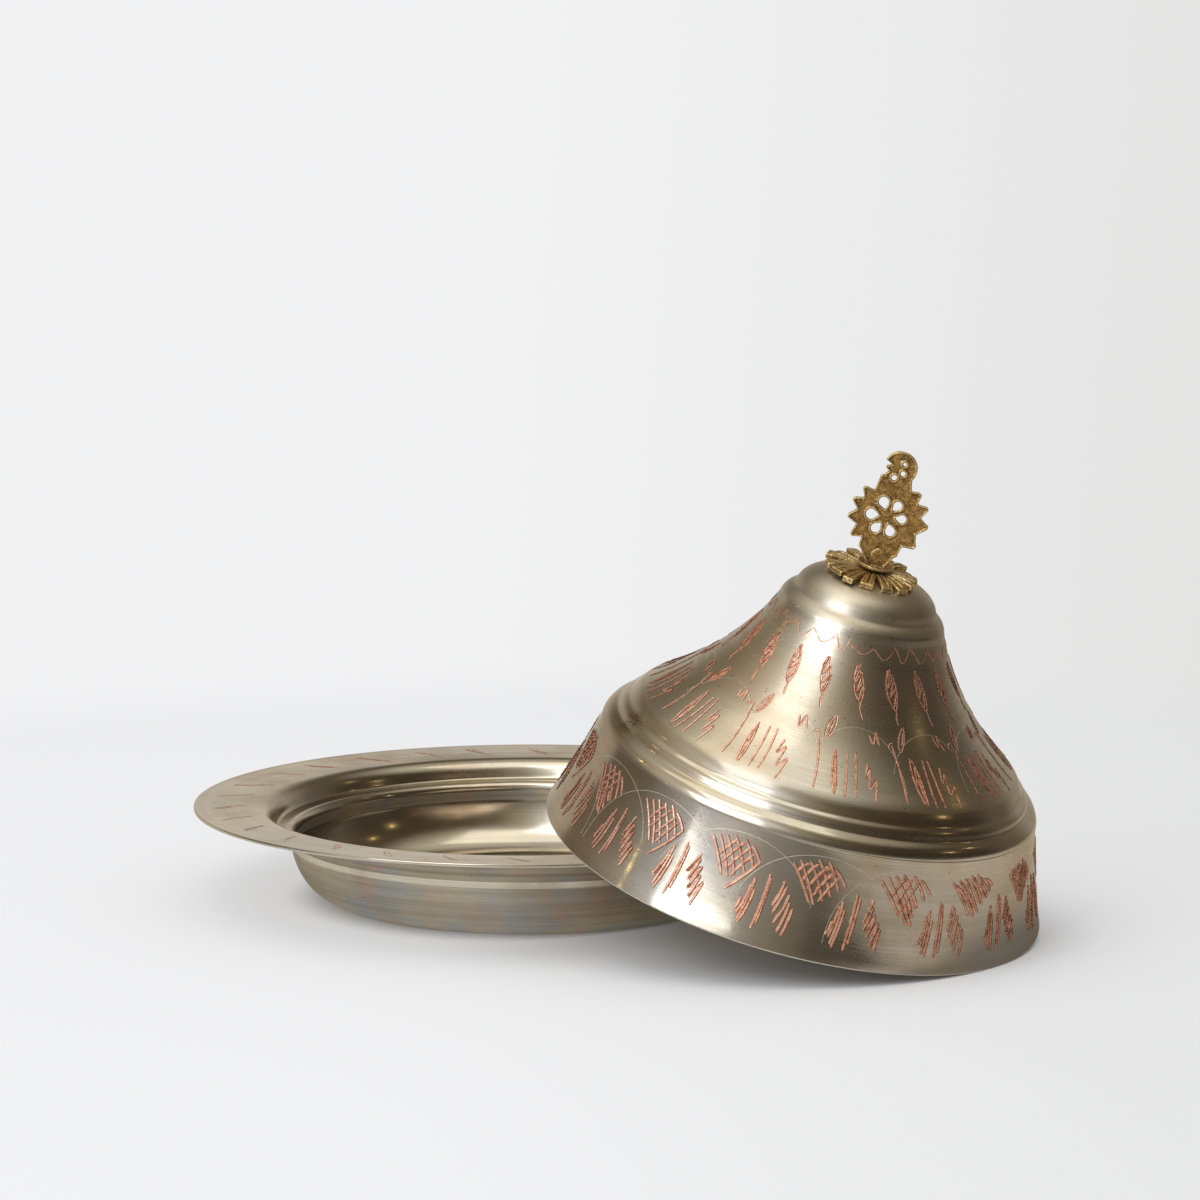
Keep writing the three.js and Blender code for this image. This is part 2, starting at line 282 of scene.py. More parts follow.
def circle_points(middle: Vector, radius: float, start: float, end: float, steps: int) -> list[Vector]:
    """Points on an arc, both ends included."""
    angles = [start + (end - start) * k / steps for k in range(steps + 1)]
    return [middle + Vector((math.cos(angle), math.sin(angle))) * radius for angle in angles]


# Engraving


class FanStyle(Enum):
    """Ways in which the engraver filled a fan."""

    GRID = "grid"
    CLOSE_GRID = "close grid"
    SCRIBBLED = "scribbled"
    STROKES = "strokes"


class TurnedSurface:
    """Face of a turned sheet that cuts are laid on."""

    reach = 0.4 * MM

    def __init__(self, points: Sequence[Vector], by_height: bool) -> None:
        """Takes the part of a section that is engraved.

        Args:
            points: Radii and heights along the face.
            by_height: True if a place is given by its height, else by its radius.
        """
        self.axis = 1 if by_height else 0
        rising = sorted(((p[self.axis], p[1 - self.axis]) for p in points))
        self.places = [p[0] for p in rising]
        self.others = [p[1] for p in rising]
        self.by_height = by_height

    def other(self, along: float) -> float:
        """The radius at a height, or the height at a radius."""
        index = min(max(bisect.bisect_left(self.places, along), 1), len(self.places) - 1)
        low, high = self.places[index - 1], self.places[index]
        share = (along - low) / (high - low) if high > low else 0.0
        return self.others[index - 1] + share * (self.others[index] - self.others[index - 1])

    def at(self, angle: float, along: float) -> tuple[Vector, Vector]:
        """Point and outward normal of the face.

        Args:
            angle: Turn about the axis.
            along: Height or radius.

        Returns:
            The point and the unit normal.
        """
        other = self.other(along)
        slope = (self.other(along + self.reach) - self.other(along - self.reach)) / (2 * self.reach)
        outward = Vector((math.cos(angle), math.sin(angle), 0))
        up = Vector((0, 0, 1))
        if self.by_height:
            return outward * other + up * along, (outward - up * slope).normalized()
        return outward * along + up * other, (up - outward * slope).normalized()


@dataclass
class Ribbons(Form):
    """Mesh of many cuts, with each vertex's place across its cut, from -1 to 1."""

    across: list[float] = field(default_factory=list)

    def build(self, name: str) -> bpy.types.Object:
        """Makes one object of all the cuts."""
        piece = super().build(name)
        piece.data.attributes.new("across", "FLOAT", "POINT").data.foreach_set("value", self.across)
        return piece


@dataclass(frozen=True)
class Graver:
    """One tool's cut: its width, the burr at its sides and how much the hand rocks it.

    The shape gives places across the cut, as shares of its width, and their heights, as shares of the
    burr; a negative height is sunk in the sheet.
    """

    width: float
    burr: float
    rocking: float
    step: float = 0.6 * MM
    sunk: float = 0.04 * MM
    tip_share: float = 0.4
    shoulder_share: float = 0.85
    shoulder_run: float = 0.2
    leaning: float = 0.6
    rock_range: tuple[float, float] = (0.4, 1)
    width_range: tuple[float, float] = (0.88, 1.14)
    burr_range: tuple[float, float] = (0.8, 1.2)
    shape: tuple[tuple[float, float], ...] = (
        (-0.5, -1), (-0.36, 1), (-0.12, 0.1), (0.12, 0.1), (0.36, 1), (0.5, -1),
    )

    def lay(
        self, name: str, surface: TurnedSurface, cuts: Iterable[Cut], rng: random.Random,
    ) -> bpy.types.Object:
        """Lays cuts on a surface as thin burred ribbons.

        Args:
            name: Name of the piece.
            surface: Face that carries the cuts.
            cuts: Turns and places along each cut.
            rng: The hand's unevenness.

        Returns:
            One object with every cut.
        """
        ribbons = Ribbons()
        for cut in cuts:
            self._ribbon(surface, cut, rng, ribbons)
        return ribbons.build(name)

    def _ribbon(self, surface: TurnedSurface, cut: Cut, rng: random.Random, ribbons: Ribbons) -> None:
        """Adds one cut to the ribbons."""
        places = self._even(surface, cut)
        if len(places) < 3:
            return
        spots = [surface.at(*place) for place in places]
        last = len(spots) - 1
        wide = len(self.shape)
        first = len(ribbons.corners)
        for index, (point, normal) in enumerate(spots):
            ahead = (spots[min(index + 1, last)][0] - spots[max(index - 1, 0)][0]).normalized()
            side = ahead.cross(normal).normalized()
            taper = self._taper(index, last)
            beat = 1 if index % 2 else -1
            rock = self.rocking * beat * rng.uniform(*self.rock_range)
            width = self.width * taper * rng.uniform(*self.width_range)
            for share, lift in self.shape:
                height = -self.sunk
                if lift > 0:
                    leaning = 1 + self.leaning * beat * math.copysign(1, share)
                    height = self.burr * lift * taper * leaning * rng.uniform(*self.burr_range)
                ribbons.corners.append(point + side * (share * width + rock) + normal * height)
                ribbons.across.append(2 * share)
        for index in range(last):
            for column in range(wide - 1):
                low = first + index * wide + column
                ribbons.faces.append([low, low + 1, low + wide + 1, low + wide])

    def _taper(self, index: int, last: int) -> float:
        """Share of the full width at one of a cut's places: least at its tips."""
        if index in (0, last):
            return self.tip_share
        gained = min(1, min(index, last - index) / last / self.shoulder_run)
        return self.shoulder_share + (1 - self.shoulder_share) * gained

    def _even(self, surface: TurnedSurface, cut: Cut) -> Cut:
        """Spaces a cut's places evenly over the surface."""
        points = [surface.at(*place)[0] for place in cut]
        along = [0.0]
        for a, b in zip(points, points[1:]):
            along.append(along[-1] + (b - a).length)
        count = max(2, int(along[-1] / self.step))
        wanted = np.linspace(0, along[-1], count + 1)
        turns = np.interp(wanted, along, [c[0] for c in cut])
        places = np.interp(wanted, along, [c[1] for c in cut])
        return list(zip(turns.tolist(), places.tolist()))


@dataclass
class Motif:
    """Turns a motif's own millimetres into turns and places on a turned surface."""

    turn: float
    radius: float
    rng: random.Random
    loose: float = 0.35
    steps: int = 8
    roundings: tuple[float, ...] = (0.12, 0.25)

    def cut(self, start: tuple[float, float], end: tuple[float, float], bow: float = 0.0) -> Cut:
        """One hand-cut stroke.

        Args:
            start: Millimetres across from the motif's middle, and the height or radius in millimetres.
            end: The same at the stroke's end.
            bow: How far the middle bends to the left, in millimetres.

        Returns:
            The stroke's places.
        """
        a, b = self._shaken(start), self._shaken(end)
        run = b - a
        bowed = bow + self.rng.uniform(-self.loose, self.loose) / 2
        middle = (a + b) / 2 + Vector((-run.y, run.x)).normalized() * bowed
        via = 2 * middle - (a + b) / 2
        return [self._place(curve_point(a, via, b, step / self.steps)) for step in range(self.steps + 1)]

    def zigzag(self, tops: Sequence[tuple[float, float]], feet: Sequence[tuple[float, float]]) -> Cut:
        """One unbroken stroke that runs down and up between two rows of points.

        Args:
            tops: Upper turning points, in millimetres.
            feet: Lower turning points.

        Returns:
            The stroke's places, rounded at the turns.
        """
        path = [self._shaken(point) for pair in zip(tops, feet) for point in pair]
        for share in self.roundings:
            between = [a.lerp(b, t) for a, b in zip(path, path[1:]) for t in (share, 1 - share)]
            path = [path[0], *between, path[-1]]
        return [self._place(point) for point in path]

    def _shaken(self, point: tuple[float, float]) -> Vector:
        """The point, moved a little by the hand's unevenness."""
        return Vector(point) + Vector([self.rng.uniform(-self.loose, self.loose) for _ in "xy"])

    def _place(self, point: Vector) -> tuple[float, float]:
        """Turn and place of a point given in the motif's millimetres."""
        return self.turn + point.x * MM / self.radius, point.y * MM


@dataclass(frozen=True)
class Band:
    """Ring of one motif round a turned surface.

    It has the number of motifs, the first one's turn from the surface's own +X, the radius at which
    the motif's millimetres are true, and how far a motif may stray from its place, in radians.
    """

    count: int
    first: float
    radius: float
    unevenness: float = 0.012

    def motifs(self, rng: random.Random, shift: float = 0.0) -> list[Motif]:
        """The motif's places.

        Args:
            rng: The hand's unevenness.
            shift: Shares of the spacing by which all places move on.

        Returns:
            One motif place for each repeat.
        """
        spacing = FULL_TURN / self.count
        return [
            Motif(self.first + (k + shift) * spacing + rng.uniform(-1, 1) * self.unevenness, self.radius, rng)
            for k in range(self.count)
        ]


def fan(motif: Motif, style: FanStyle) -> list[Cut]:
    """Fan between two arches of the skirt.

    Args:
        motif: Its place.
        style: How it is filled.

    Returns:
        Its strokes.
    """
    tops = [(-9.6, 28.6), (-7.2, 29.6), (-4.6, 30.4), (-1.8, 31.0), (1.6, 30.8), (4.4, 29.4)]
    feet = [(-1.6, 17.6), (0.2, 17.2), (2.4, 18.8), (4.8, 20.6), (7.2, 22.6), (9.0, 24.4)]
    crossing = [((6.4, 26.8), (1.0, 18.0)), ((4.4, 28.6), (-1.4, 19.4)), ((1.8, 29.4), (-3.4, 21.6)),
                ((-1.0, 29.6), (-5.2, 23.6)), ((-4.2, 29.2), (-7.6, 25.6))]
    closing = motif.cut((8.8, 25.6), (0.4, 13.8), 0.5)
    cuts = [motif.cut(top, foot, 0.5) for top, foot in zip(tops, feet)]
    if style is FanStyle.GRID:
        return [*cuts, *(motif.cut(*stroke, -0.3) for stroke in crossing[:4]), closing]
    if style is FanStyle.CLOSE_GRID:
        between = [((a[0] + 1.3, a[1]), (b[0] + 1.2, b[1] + 1.6)) for a, b in crossing[1:3]]
        return [*cuts, *(motif.cut(*stroke, -0.3) for stroke in [*crossing, *between])]
    if style is FanStyle.SCRIBBLED:
        marks = [
            ((k * 1.5 - 2.4 + row, height + 2.2), (k * 1.5 - 0.6 + row, height - 1.4))
            for row, height in enumerate((21.4, 18.8, 16.6)) for k in range(4 - row)
        ]
        return [*cuts, *(motif.cut(*stroke, -0.2) for stroke in [*crossing[1:4], *marks])]
    close = [((a[0] + 1.2, a[1] - 0.8), (b[0] + 0.9, b[1] + 2.0)) for a, b in zip(tops, feet)]
    return [*cuts, *(motif.cut(*stroke, 0.4) for stroke in close)]


def sprig(motif: Motif) -> list[Cut]:
    """Upright sprig on the skirt: two stems between two leaves of long leaning strokes."""
    left = [((-5.2, 20.4), (-7.4, 6.2)), ((-5.9, 18.4), (-8.2, 8.4)),
            ((-4.3, 17.2), (-6.4, 5.6)), ((-7.6, 13.4), (-8.8, 9.2))]
    stems = [((-0.9, 23.0), (-2.6, 5.2)), ((-0.2, 21.8), (-1.4, 7.0))]
    right = [((4.4, 21.8), (2.0, 13.4)), ((5.4, 20.6), (2.9, 11.2)), ((6.4, 18.6), (4.0, 8.8)),
             ((7.3, 16.0), (5.3, 6.6)), ((8.6, 14.2), (6.9, 5.4))]
    tops, feet = zip(*right)
    cuts = [motif.cut(top, foot, 0.3) for top, foot in [*left, *stems]]
    if motif.rng.random() < 0.5:
        return [*cuts, motif.zigzag(tops, feet)]
    return [*cuts, *(motif.cut(top, foot, 0.3) for top, foot in right)]


def bell_sprig(motif: Motif) -> list[Cut]:
    """Sprig at the foot of the bell: a narrow leaf, two stems and an open scribble."""
    leaf = ([(-6.0, 59.0), (-5.4, 56.2)], [(-6.2, 54.0), (-4.9, 51.2)])
    scribble = ([(5.0, 58.8), (6.4, 57.6), (8.6, 54.8)], [(4.2, 54.2), (5.6, 51.8), (7.4, 49.2)])
    edges = [motif.cut((-7.0, 60.6), (-4.6, 49.6), -0.9), motif.cut((-6.8, 60.4), (-4.4, 49.8), 0.9)]
    stems = [motif.cut((-2.2, 60.2), (-1.4, 49.4), 0.2), motif.cut((0.6, 60.6), (1.8, 49.4), 0.3)]
    return [*edges, *stems, motif.zigzag(*leaf), motif.zigzag(*scribble)]


def stem_and_leaves(motif: Motif) -> list[Cut]:
    """Long hooked stem on the bell with a small leaf on each side of its top."""
    left = ([(-8.6, 65.8), (-6.4, 66.8)], [(-7.2, 62.8), (-4.8, 62.6)])
    edges = [motif.cut((2.2, 62.2), (4.4, 68.6), 1.0), motif.cut((2.4, 62.0), (4.6, 68.6), -1.0),
             motif.cut((3.2, 63.4), (4.2, 67.0))]
    stem = [motif.cut((-2.0, 62.6), (-0.4, 64.0), 0.4), motif.cut((-0.4, 64.0), (2.4, 49.8), 0.7)]
    return [*stem, *edges, motif.zigzag(*left)]


def outlined_leaf(motif: Motif, foot: float, reach: float, slant: float) -> list[Cut]:
    """Slender leaf with both edges drawn, filled by long steep strokes, with a thin tail.

    Args:
        motif: Its place.
        foot: Height or radius of its lower tip, in millimetres.
        reach: From the lower tip to the upper, in millimetres.
        slant: How far the upper tip stands aside of the lower, in millimetres.

    Returns:
        Its edges, its tail and its strokes.
    """
    strokes = 4
    half_width, fullness = 1.275, 0.6
    above, below = 3.0, 1.4
    tops, feet = [], []
    for step in range(strokes):
        share = (step + 0.6) / strokes
        half = half_width * math.sin(math.pi * min(share, 0.95)) ** fullness
        middle, height = -slant * share, foot + reach * (0.12 + 0.8 * share)
        tops.append((middle + half, height + above))
        feet.append((middle - half, height - below))
    low, high = (-0.1 * slant, foot + 0.1 * reach), (-slant, foot + reach)
    tail = motif.cut((0.5, foot - 2.4), low, 0.3)
    return [tail, motif.cut(low, high, -1.7), motif.cut(low, high, 1.5), motif.zigzag(tops, feet)]


def flange_leaf(motif: Motif, foot: float, reach: float, slant: float) -> list[Cut]:
    """Slanting leaf of a few long thin strokes on the flange, given as an outlined leaf is."""
    straying, bending, side_chance = 1.6, 1.2, 0.75
    turn = motif.rng.uniform(-straying, straying)
    cuts = [motif.cut((-slant + turn, foot + reach), (turn, foot), motif.rng.uniform(-bending, bending))]
    for offset in (-1.1, 0.9):
        if motif.rng.random() < side_chance:
            start, stop = motif.rng.uniform(0, 0.45), motif.rng.uniform(0.6, 1.0)
            upper, lower = (
                (offset + turn - slant * share, foot + reach * share) for share in (stop, start)
            )
            cuts.append(motif.cut(upper, lower, 0.4))
    return cuts


def arch(motif: Motif, foot: float, top: float, half_span: float) -> list[Cut]:
    """Thin scribed arch from foot to foot over a motif, sometimes broken off.

    Args:
        motif: Its place.
        foot: Height of its feet, in millimetres.
        top: Height of its top, in millimetres.
        half_span: From the motif's middle to a foot, in millimetres.

    Returns:
        The arch, as one cut.
    """
    steps = 40
    start = motif.rng.choice([0.0, 0.0, 0.08, 0.2]) * math.pi
    stop = (1 - motif.rng.choice([0.0, 0.0, 0.1, 0.22])) * math.pi
    places = []
    for step in range(steps + 1):
        angle = start + (stop - start) * step / steps
        height = foot + (top - foot) * math.sin(angle) ** 0.85
        places.append((motif.turn - math.cos(angle) * half_span * MM / motif.radius, height * MM))
    return [places]


def running_wave(motifs: Sequence[Motif], low: float, high: float) -> list[Cut]:
    """One running line of pointed waves round the bell's top.

    Args:
        motifs: Places of the peaks.
        low: Height of the troughs, in millimetres.
        high: Height of the peaks, in millimetres.

    Returns:
        The line, as one cut for each wave.
    """
    steps = 16
    sharpness, crowding = 2.6, 0.09
    cuts = []
    for here, after in zip(motifs, [*motifs[1:], motifs[0]]):
        span = (after.turn - here.turn) % FULL_TURN
        peak = high + here.rng.uniform(-1.3, 0.5)
        trough = low + here.rng.uniform(-0.4, 0.7)
        lean = here.rng.uniform(0.25, 0.45)
        cut = []
        for share in (step / steps for step in range(steps + 1)):
            swing = abs(2 * share ** (1 + lean) - 1) ** sharpness
            turn = here.turn + span * (share + crowding * math.sin(FULL_TURN * share))
            cut.append((turn, (trough + (peak - trough) * swing) * MM))
        cuts.append(cut)
        if here.rng.random() < 0.5:
            hook = here.rng.uniform(0.5, 1.1)
            cuts.append(here.cut((0.2, peak), (hook, peak - 1.5), 0.5))
    return cuts


# Shader nodes


class Graph:
    """Adds and joins the nodes of one tree."""

    def __init__(self, tree: bpy.types.NodeTree) -> None:
        """Works on tree."""
        self.tree = tree

    def feed(self, node: bpy.types.Node, inputs: Mapping[Any, Any]) -> None:
        """Gives a node's inputs, by name or number, their values or the sockets that they follow."""
        for name, value in inputs.items():
            if isinstance(value, bpy.types.NodeSocket):
                self.tree.links.new(value, node.inputs[name])
            else:
                node.inputs[name].default_value = value

    def node(self, kind: str, inputs: Mapping[Any, Any] | None = None, **settings: Any) -> bpy.types.Node:
        """Adds a node.

        Args:
            kind: The node's type name.
            inputs: Values or sockets for its inputs, by name or number.
            **settings: The node's own settings.

        Returns:
            The node.
        """
        made = self.tree.nodes.new(kind)
        for name, value in settings.items():
            setattr(made, name, value)
        self.feed(made, inputs or {})
        return made

    def effect(
        self, group: bpy.types.NodeTree, vector: Any, **values: float,
    ) -> Mapping[str, bpy.types.NodeSocket]:
        """Places a shared effect.

        Args:
            group: One of the shared effects.
            vector: Coordinates that the effect follows.
            **values: Values of the group's other inputs.

        Returns:
            What the effect gives, by name.
        """
        return self.node("ShaderNodeGroup", {"Vector": vector, **values}, node_tree=group).outputs

    def math(self, operation: str, *values: Any, clamp: bool = False) -> bpy.types.NodeSocket:
        """Result of one Math node."""
        made = self.node("ShaderNodeMath", dict(enumerate(values)), operation=operation, use_clamp=clamp)
        return made.outputs[0]

    def weighted(self, *terms: tuple[Any, float]) -> bpy.types.NodeSocket:
        """Sum of values, each times its weight."""
        total, *others = [self.math("MULTIPLY", value, weight) for value, weight in terms]
        for other in others:
            total = self.math("ADD", total, other)
        return total

    def total(self, *values: Any) -> bpy.types.NodeSocket:
        """Sum of values, kept between 0 and 1."""
        total, *others = values
        for other in others[:-1]:
            total = self.math("ADD", total, other)
        return self.math("ADD", total, others[-1], clamp=True)

    def ramp(
        self, value: Any, low: float, high: float, start: float = 0.0, end: float = 1.0,
    ) -> bpy.types.NodeSocket:
        """Value carried smoothly from one range to another.

        Args:
            value: The value.
            low: Where it leaves start.
            high: Where it reaches end.
            start: The result at low and below.
            end: The result at high and above.

        Returns:
            The result.
        """
        ends = {"Value": value, "From Min": low, "From Max": high, "To Min": start, "To Max": end}
        return self.node("ShaderNodeMapRange", ends, interpolation_type="SMOOTHSTEP").outputs["Result"]

    def blend(self, share: Any, first: Any, second: Any) -> bpy.types.NodeSocket:
        """Colour between two colours."""
        return self.node("ShaderNodeMix", {0: share, 6: first, 7: second}, data_type="RGBA").outputs[2]

    def noise(self, vector: Any, scale: Any, detail: float, roughness: float) -> bpy.types.NodeSocket:
        """Value of a noise texture."""
        look = {"Vector": vector, "Scale": scale, "Detail": detail, "Roughness": roughness}
        return self.node("ShaderNodeTexNoise", look).outputs["Fac"]

    def bump(self, height: Any, relief: float, strength: float = 1) -> bpy.types.NodeSocket:
        """Normal of a surface with a relief."""
        look = {"Height": height, "Distance": relief, "Strength": strength}
        return self.node("ShaderNodeBump", look).outputs["Normal"]

    def reach(self, position: Any, place: Sequence[float]) -> bpy.types.NodeSocket:
        """Distance of a position from a place."""
        made = self.node("ShaderNodeVectorMath", {0: position, 1: tuple(place)}, operation="DISTANCE")
        return made.outputs["Value"]

    def attribute(self, name: str, output: str = "Vector") -> bpy.types.NodeSocket:
        """Value that the mesh keeps under a name."""
        return self.node("ShaderNodeAttribute", attribute_name=name).outputs[output]


class EffectGroup(Graph):
    """Graph of a node group that follows a vector."""

    def __init__(self, name: str, **usual: float) -> None:
        """Opens the group.

        Args:
            name: Name of the group.
            **usual: Its other inputs, with their usual values.
        """
        super().__init__(bpy.data.node_groups.new(name, "ShaderNodeTree"))
        self.tree.interface.new_socket("Vector", in_out="INPUT", socket_type="NodeSocketVector")
        for label, value in usual.items():
            made = self.tree.interface.new_socket(label, in_out="INPUT", socket_type="NodeSocketFloat")
            made.default_value = value
        self.given = self.node("NodeGroupInput").outputs
        self.vector = self.given["Vector"]

    def give(self, **results: bpy.types.NodeSocket) -> bpy.types.NodeTree:
        """Closes the group with its results, by name."""
        for label in results:
            self.tree.interface.new_socket(label, in_out="OUTPUT", socket_type="NodeSocketFloat")
        self.node("NodeGroupOutput", results)
        return self.tree


class SharedEffects:
    """Shader node groups that more than one finish uses."""

    def __init__(self) -> None:
        """Builds every group once."""
        self.turning_marks = self._turning_marks()
        self.tarnish = self._tarnish()
        self.scuffs = self._scuffs()
        self.edge_wear = self._edge_wear()
        self.cast_grain = self._cast_grain()

    @staticmethod
    def _turning_marks() -> bpy.types.NodeTree:
        """Fine rings left by turning, with the slow waver of a hand-spun sheet."""
        group = EffectGroup("turning_marks", Lines=2600)
        broadness, spiral = 0.12, 0.0006
        x, y, z = group.node("ShaderNodeSeparateXYZ", {0: group.vector}).outputs
        squares = [group.math("MULTIPLY", part, part) for part in (x, y)]
        radius = group.math("SQRT", group.math("ADD", *squares))
        turn = group.math("MULTIPLY", group.math("ARCTAN2", y, x), spiral)
        ringed = group.node("ShaderNodeCombineXYZ", {0: radius, 1: z, 2: turn}).outputs[0]
        lines = group.noise(ringed, group.given["Lines"], 3, 0.6)
        broad = group.noise(ringed, group.math("MULTIPLY", group.given["Lines"], broadness), 2, 0.5)
        waver = group.noise(group.vector, 35, 1, 0.4)
        return group.give(
            Height=group.weighted((lines, 0.12), (waver, 3.0), (broad, 0.25)),
            Tone=group.weighted((lines, 0.5), (broad, 0.5)),
        )

    @staticmethod
    def _tarnish() -> bpy.types.NodeTree:
        """Soft clouds of tarnish and small dark specks."""
        group = EffectGroup("tarnish")
        clouds = group.ramp(group.noise(group.vector, 28, 5, 0.62), 0.42, 0.68)
        cells = group.node("ShaderNodeTexVoronoi", {"Vector": group.vector, "Scale": 420})
        dots = group.ramp(cells.outputs["Distance"], 0.05, 0.16, 1, 0)
        where = group.ramp(group.noise(group.vector, 60, 4, 0.7), 0.51, 0.6)
        return group.give(Mask=clouds, Speck=group.math("MULTIPLY", dots, where))

    @staticmethod
    def _scuffs() -> bpy.types.NodeTree:
        """Short fine scratches in several directions."""
        group = EffectGroup("scuffs", Density=1)
        total: Any = 0.0
        for turn, stretch in ((0.5, 40.0), (1.7, 55.0), (2.6, 48.0)):
            spun = group.node("ShaderNodeMapping", {
                "Vector": group.vector, "Rotation": (turn, turn / 2, turn), "Scale": (1.0, stretch, stretch),
            })
            streak = group.ramp(group.noise(spun.outputs[0], 38, 2, 0.5), 0.68, 0.74)
            total = group.math("MAXIMUM", total, streak)
        return group.give(Mask=group.math("MULTIPLY", total, group.given["Density"], clamp=True))

    @staticmethod
    def _edge_wear() -> bpy.types.NodeTree:
        """Rubbed edges and shaded hollows, from the surface's own curvature."""
        group = EffectGroup("edge_wear", Sharpness=0.06)
        flat, unevenness = 0.5, 0.05
        bend = group.node("ShaderNodeNewGeometry").outputs["Pointiness"]
        uneven = group.math("MULTIPLY", group.noise(group.vector, 700, 3, 0.6), unevenness)
        shifted = group.math("SUBTRACT", uneven, unevenness / 2)
        edge = group.math("ADD", group.math("SUBTRACT", bend, flat), shifted)
        hollow = group.math("SUBTRACT", flat, bend)
        sharpness = group.given["Sharpness"]
        return group.give(
            Edge=group.math("DIVIDE", edge, sharpness, clamp=True),
            Hollow=group.math("DIVIDE", hollow, sharpness, clamp=True),
        )

    @staticmethod
    def _cast_grain() -> bpy.types.NodeTree:
        """Sandy skin of a rough casting."""
        group = EffectGroup("cast_grain", Scale=900)
        coarseness = 0.3
        sand = group.noise(group.vector, group.given["Scale"], 4, 0.65)
        coarse = group.noise(group.vector, group.math("MULTIPLY", group.given["Scale"], coarseness), 3, 0.55)
        mixed = group.weighted((sand, 0.55), (coarse, 0.45))
        return group.give(Height=mixed, Tone=group.ramp(mixed, 0.38, 0.62))


def empty_material(name: str, slot: Slot | None) -> tuple[bpy.types.Material, Graph, bpy.types.Node]:
    """A material with one Principled shader.

    Args:
        name: Name of the material.
        slot: The record's slot that it belongs to.

    Returns:
        The material, its graph and its shader.
    """
    material = bpy.data.materials.new(name)
    material.use_nodes = True
    material.node_tree.nodes.clear()
    if slot is not None:
        material["slot"] = slot.value
    graph = Graph(material.node_tree)
    shader = graph.node("ShaderNodeBsdfPrincipled")
    graph.node("ShaderNodeOutputMaterial", {"Surface": shader.outputs[0]})
    return material, graph, shader


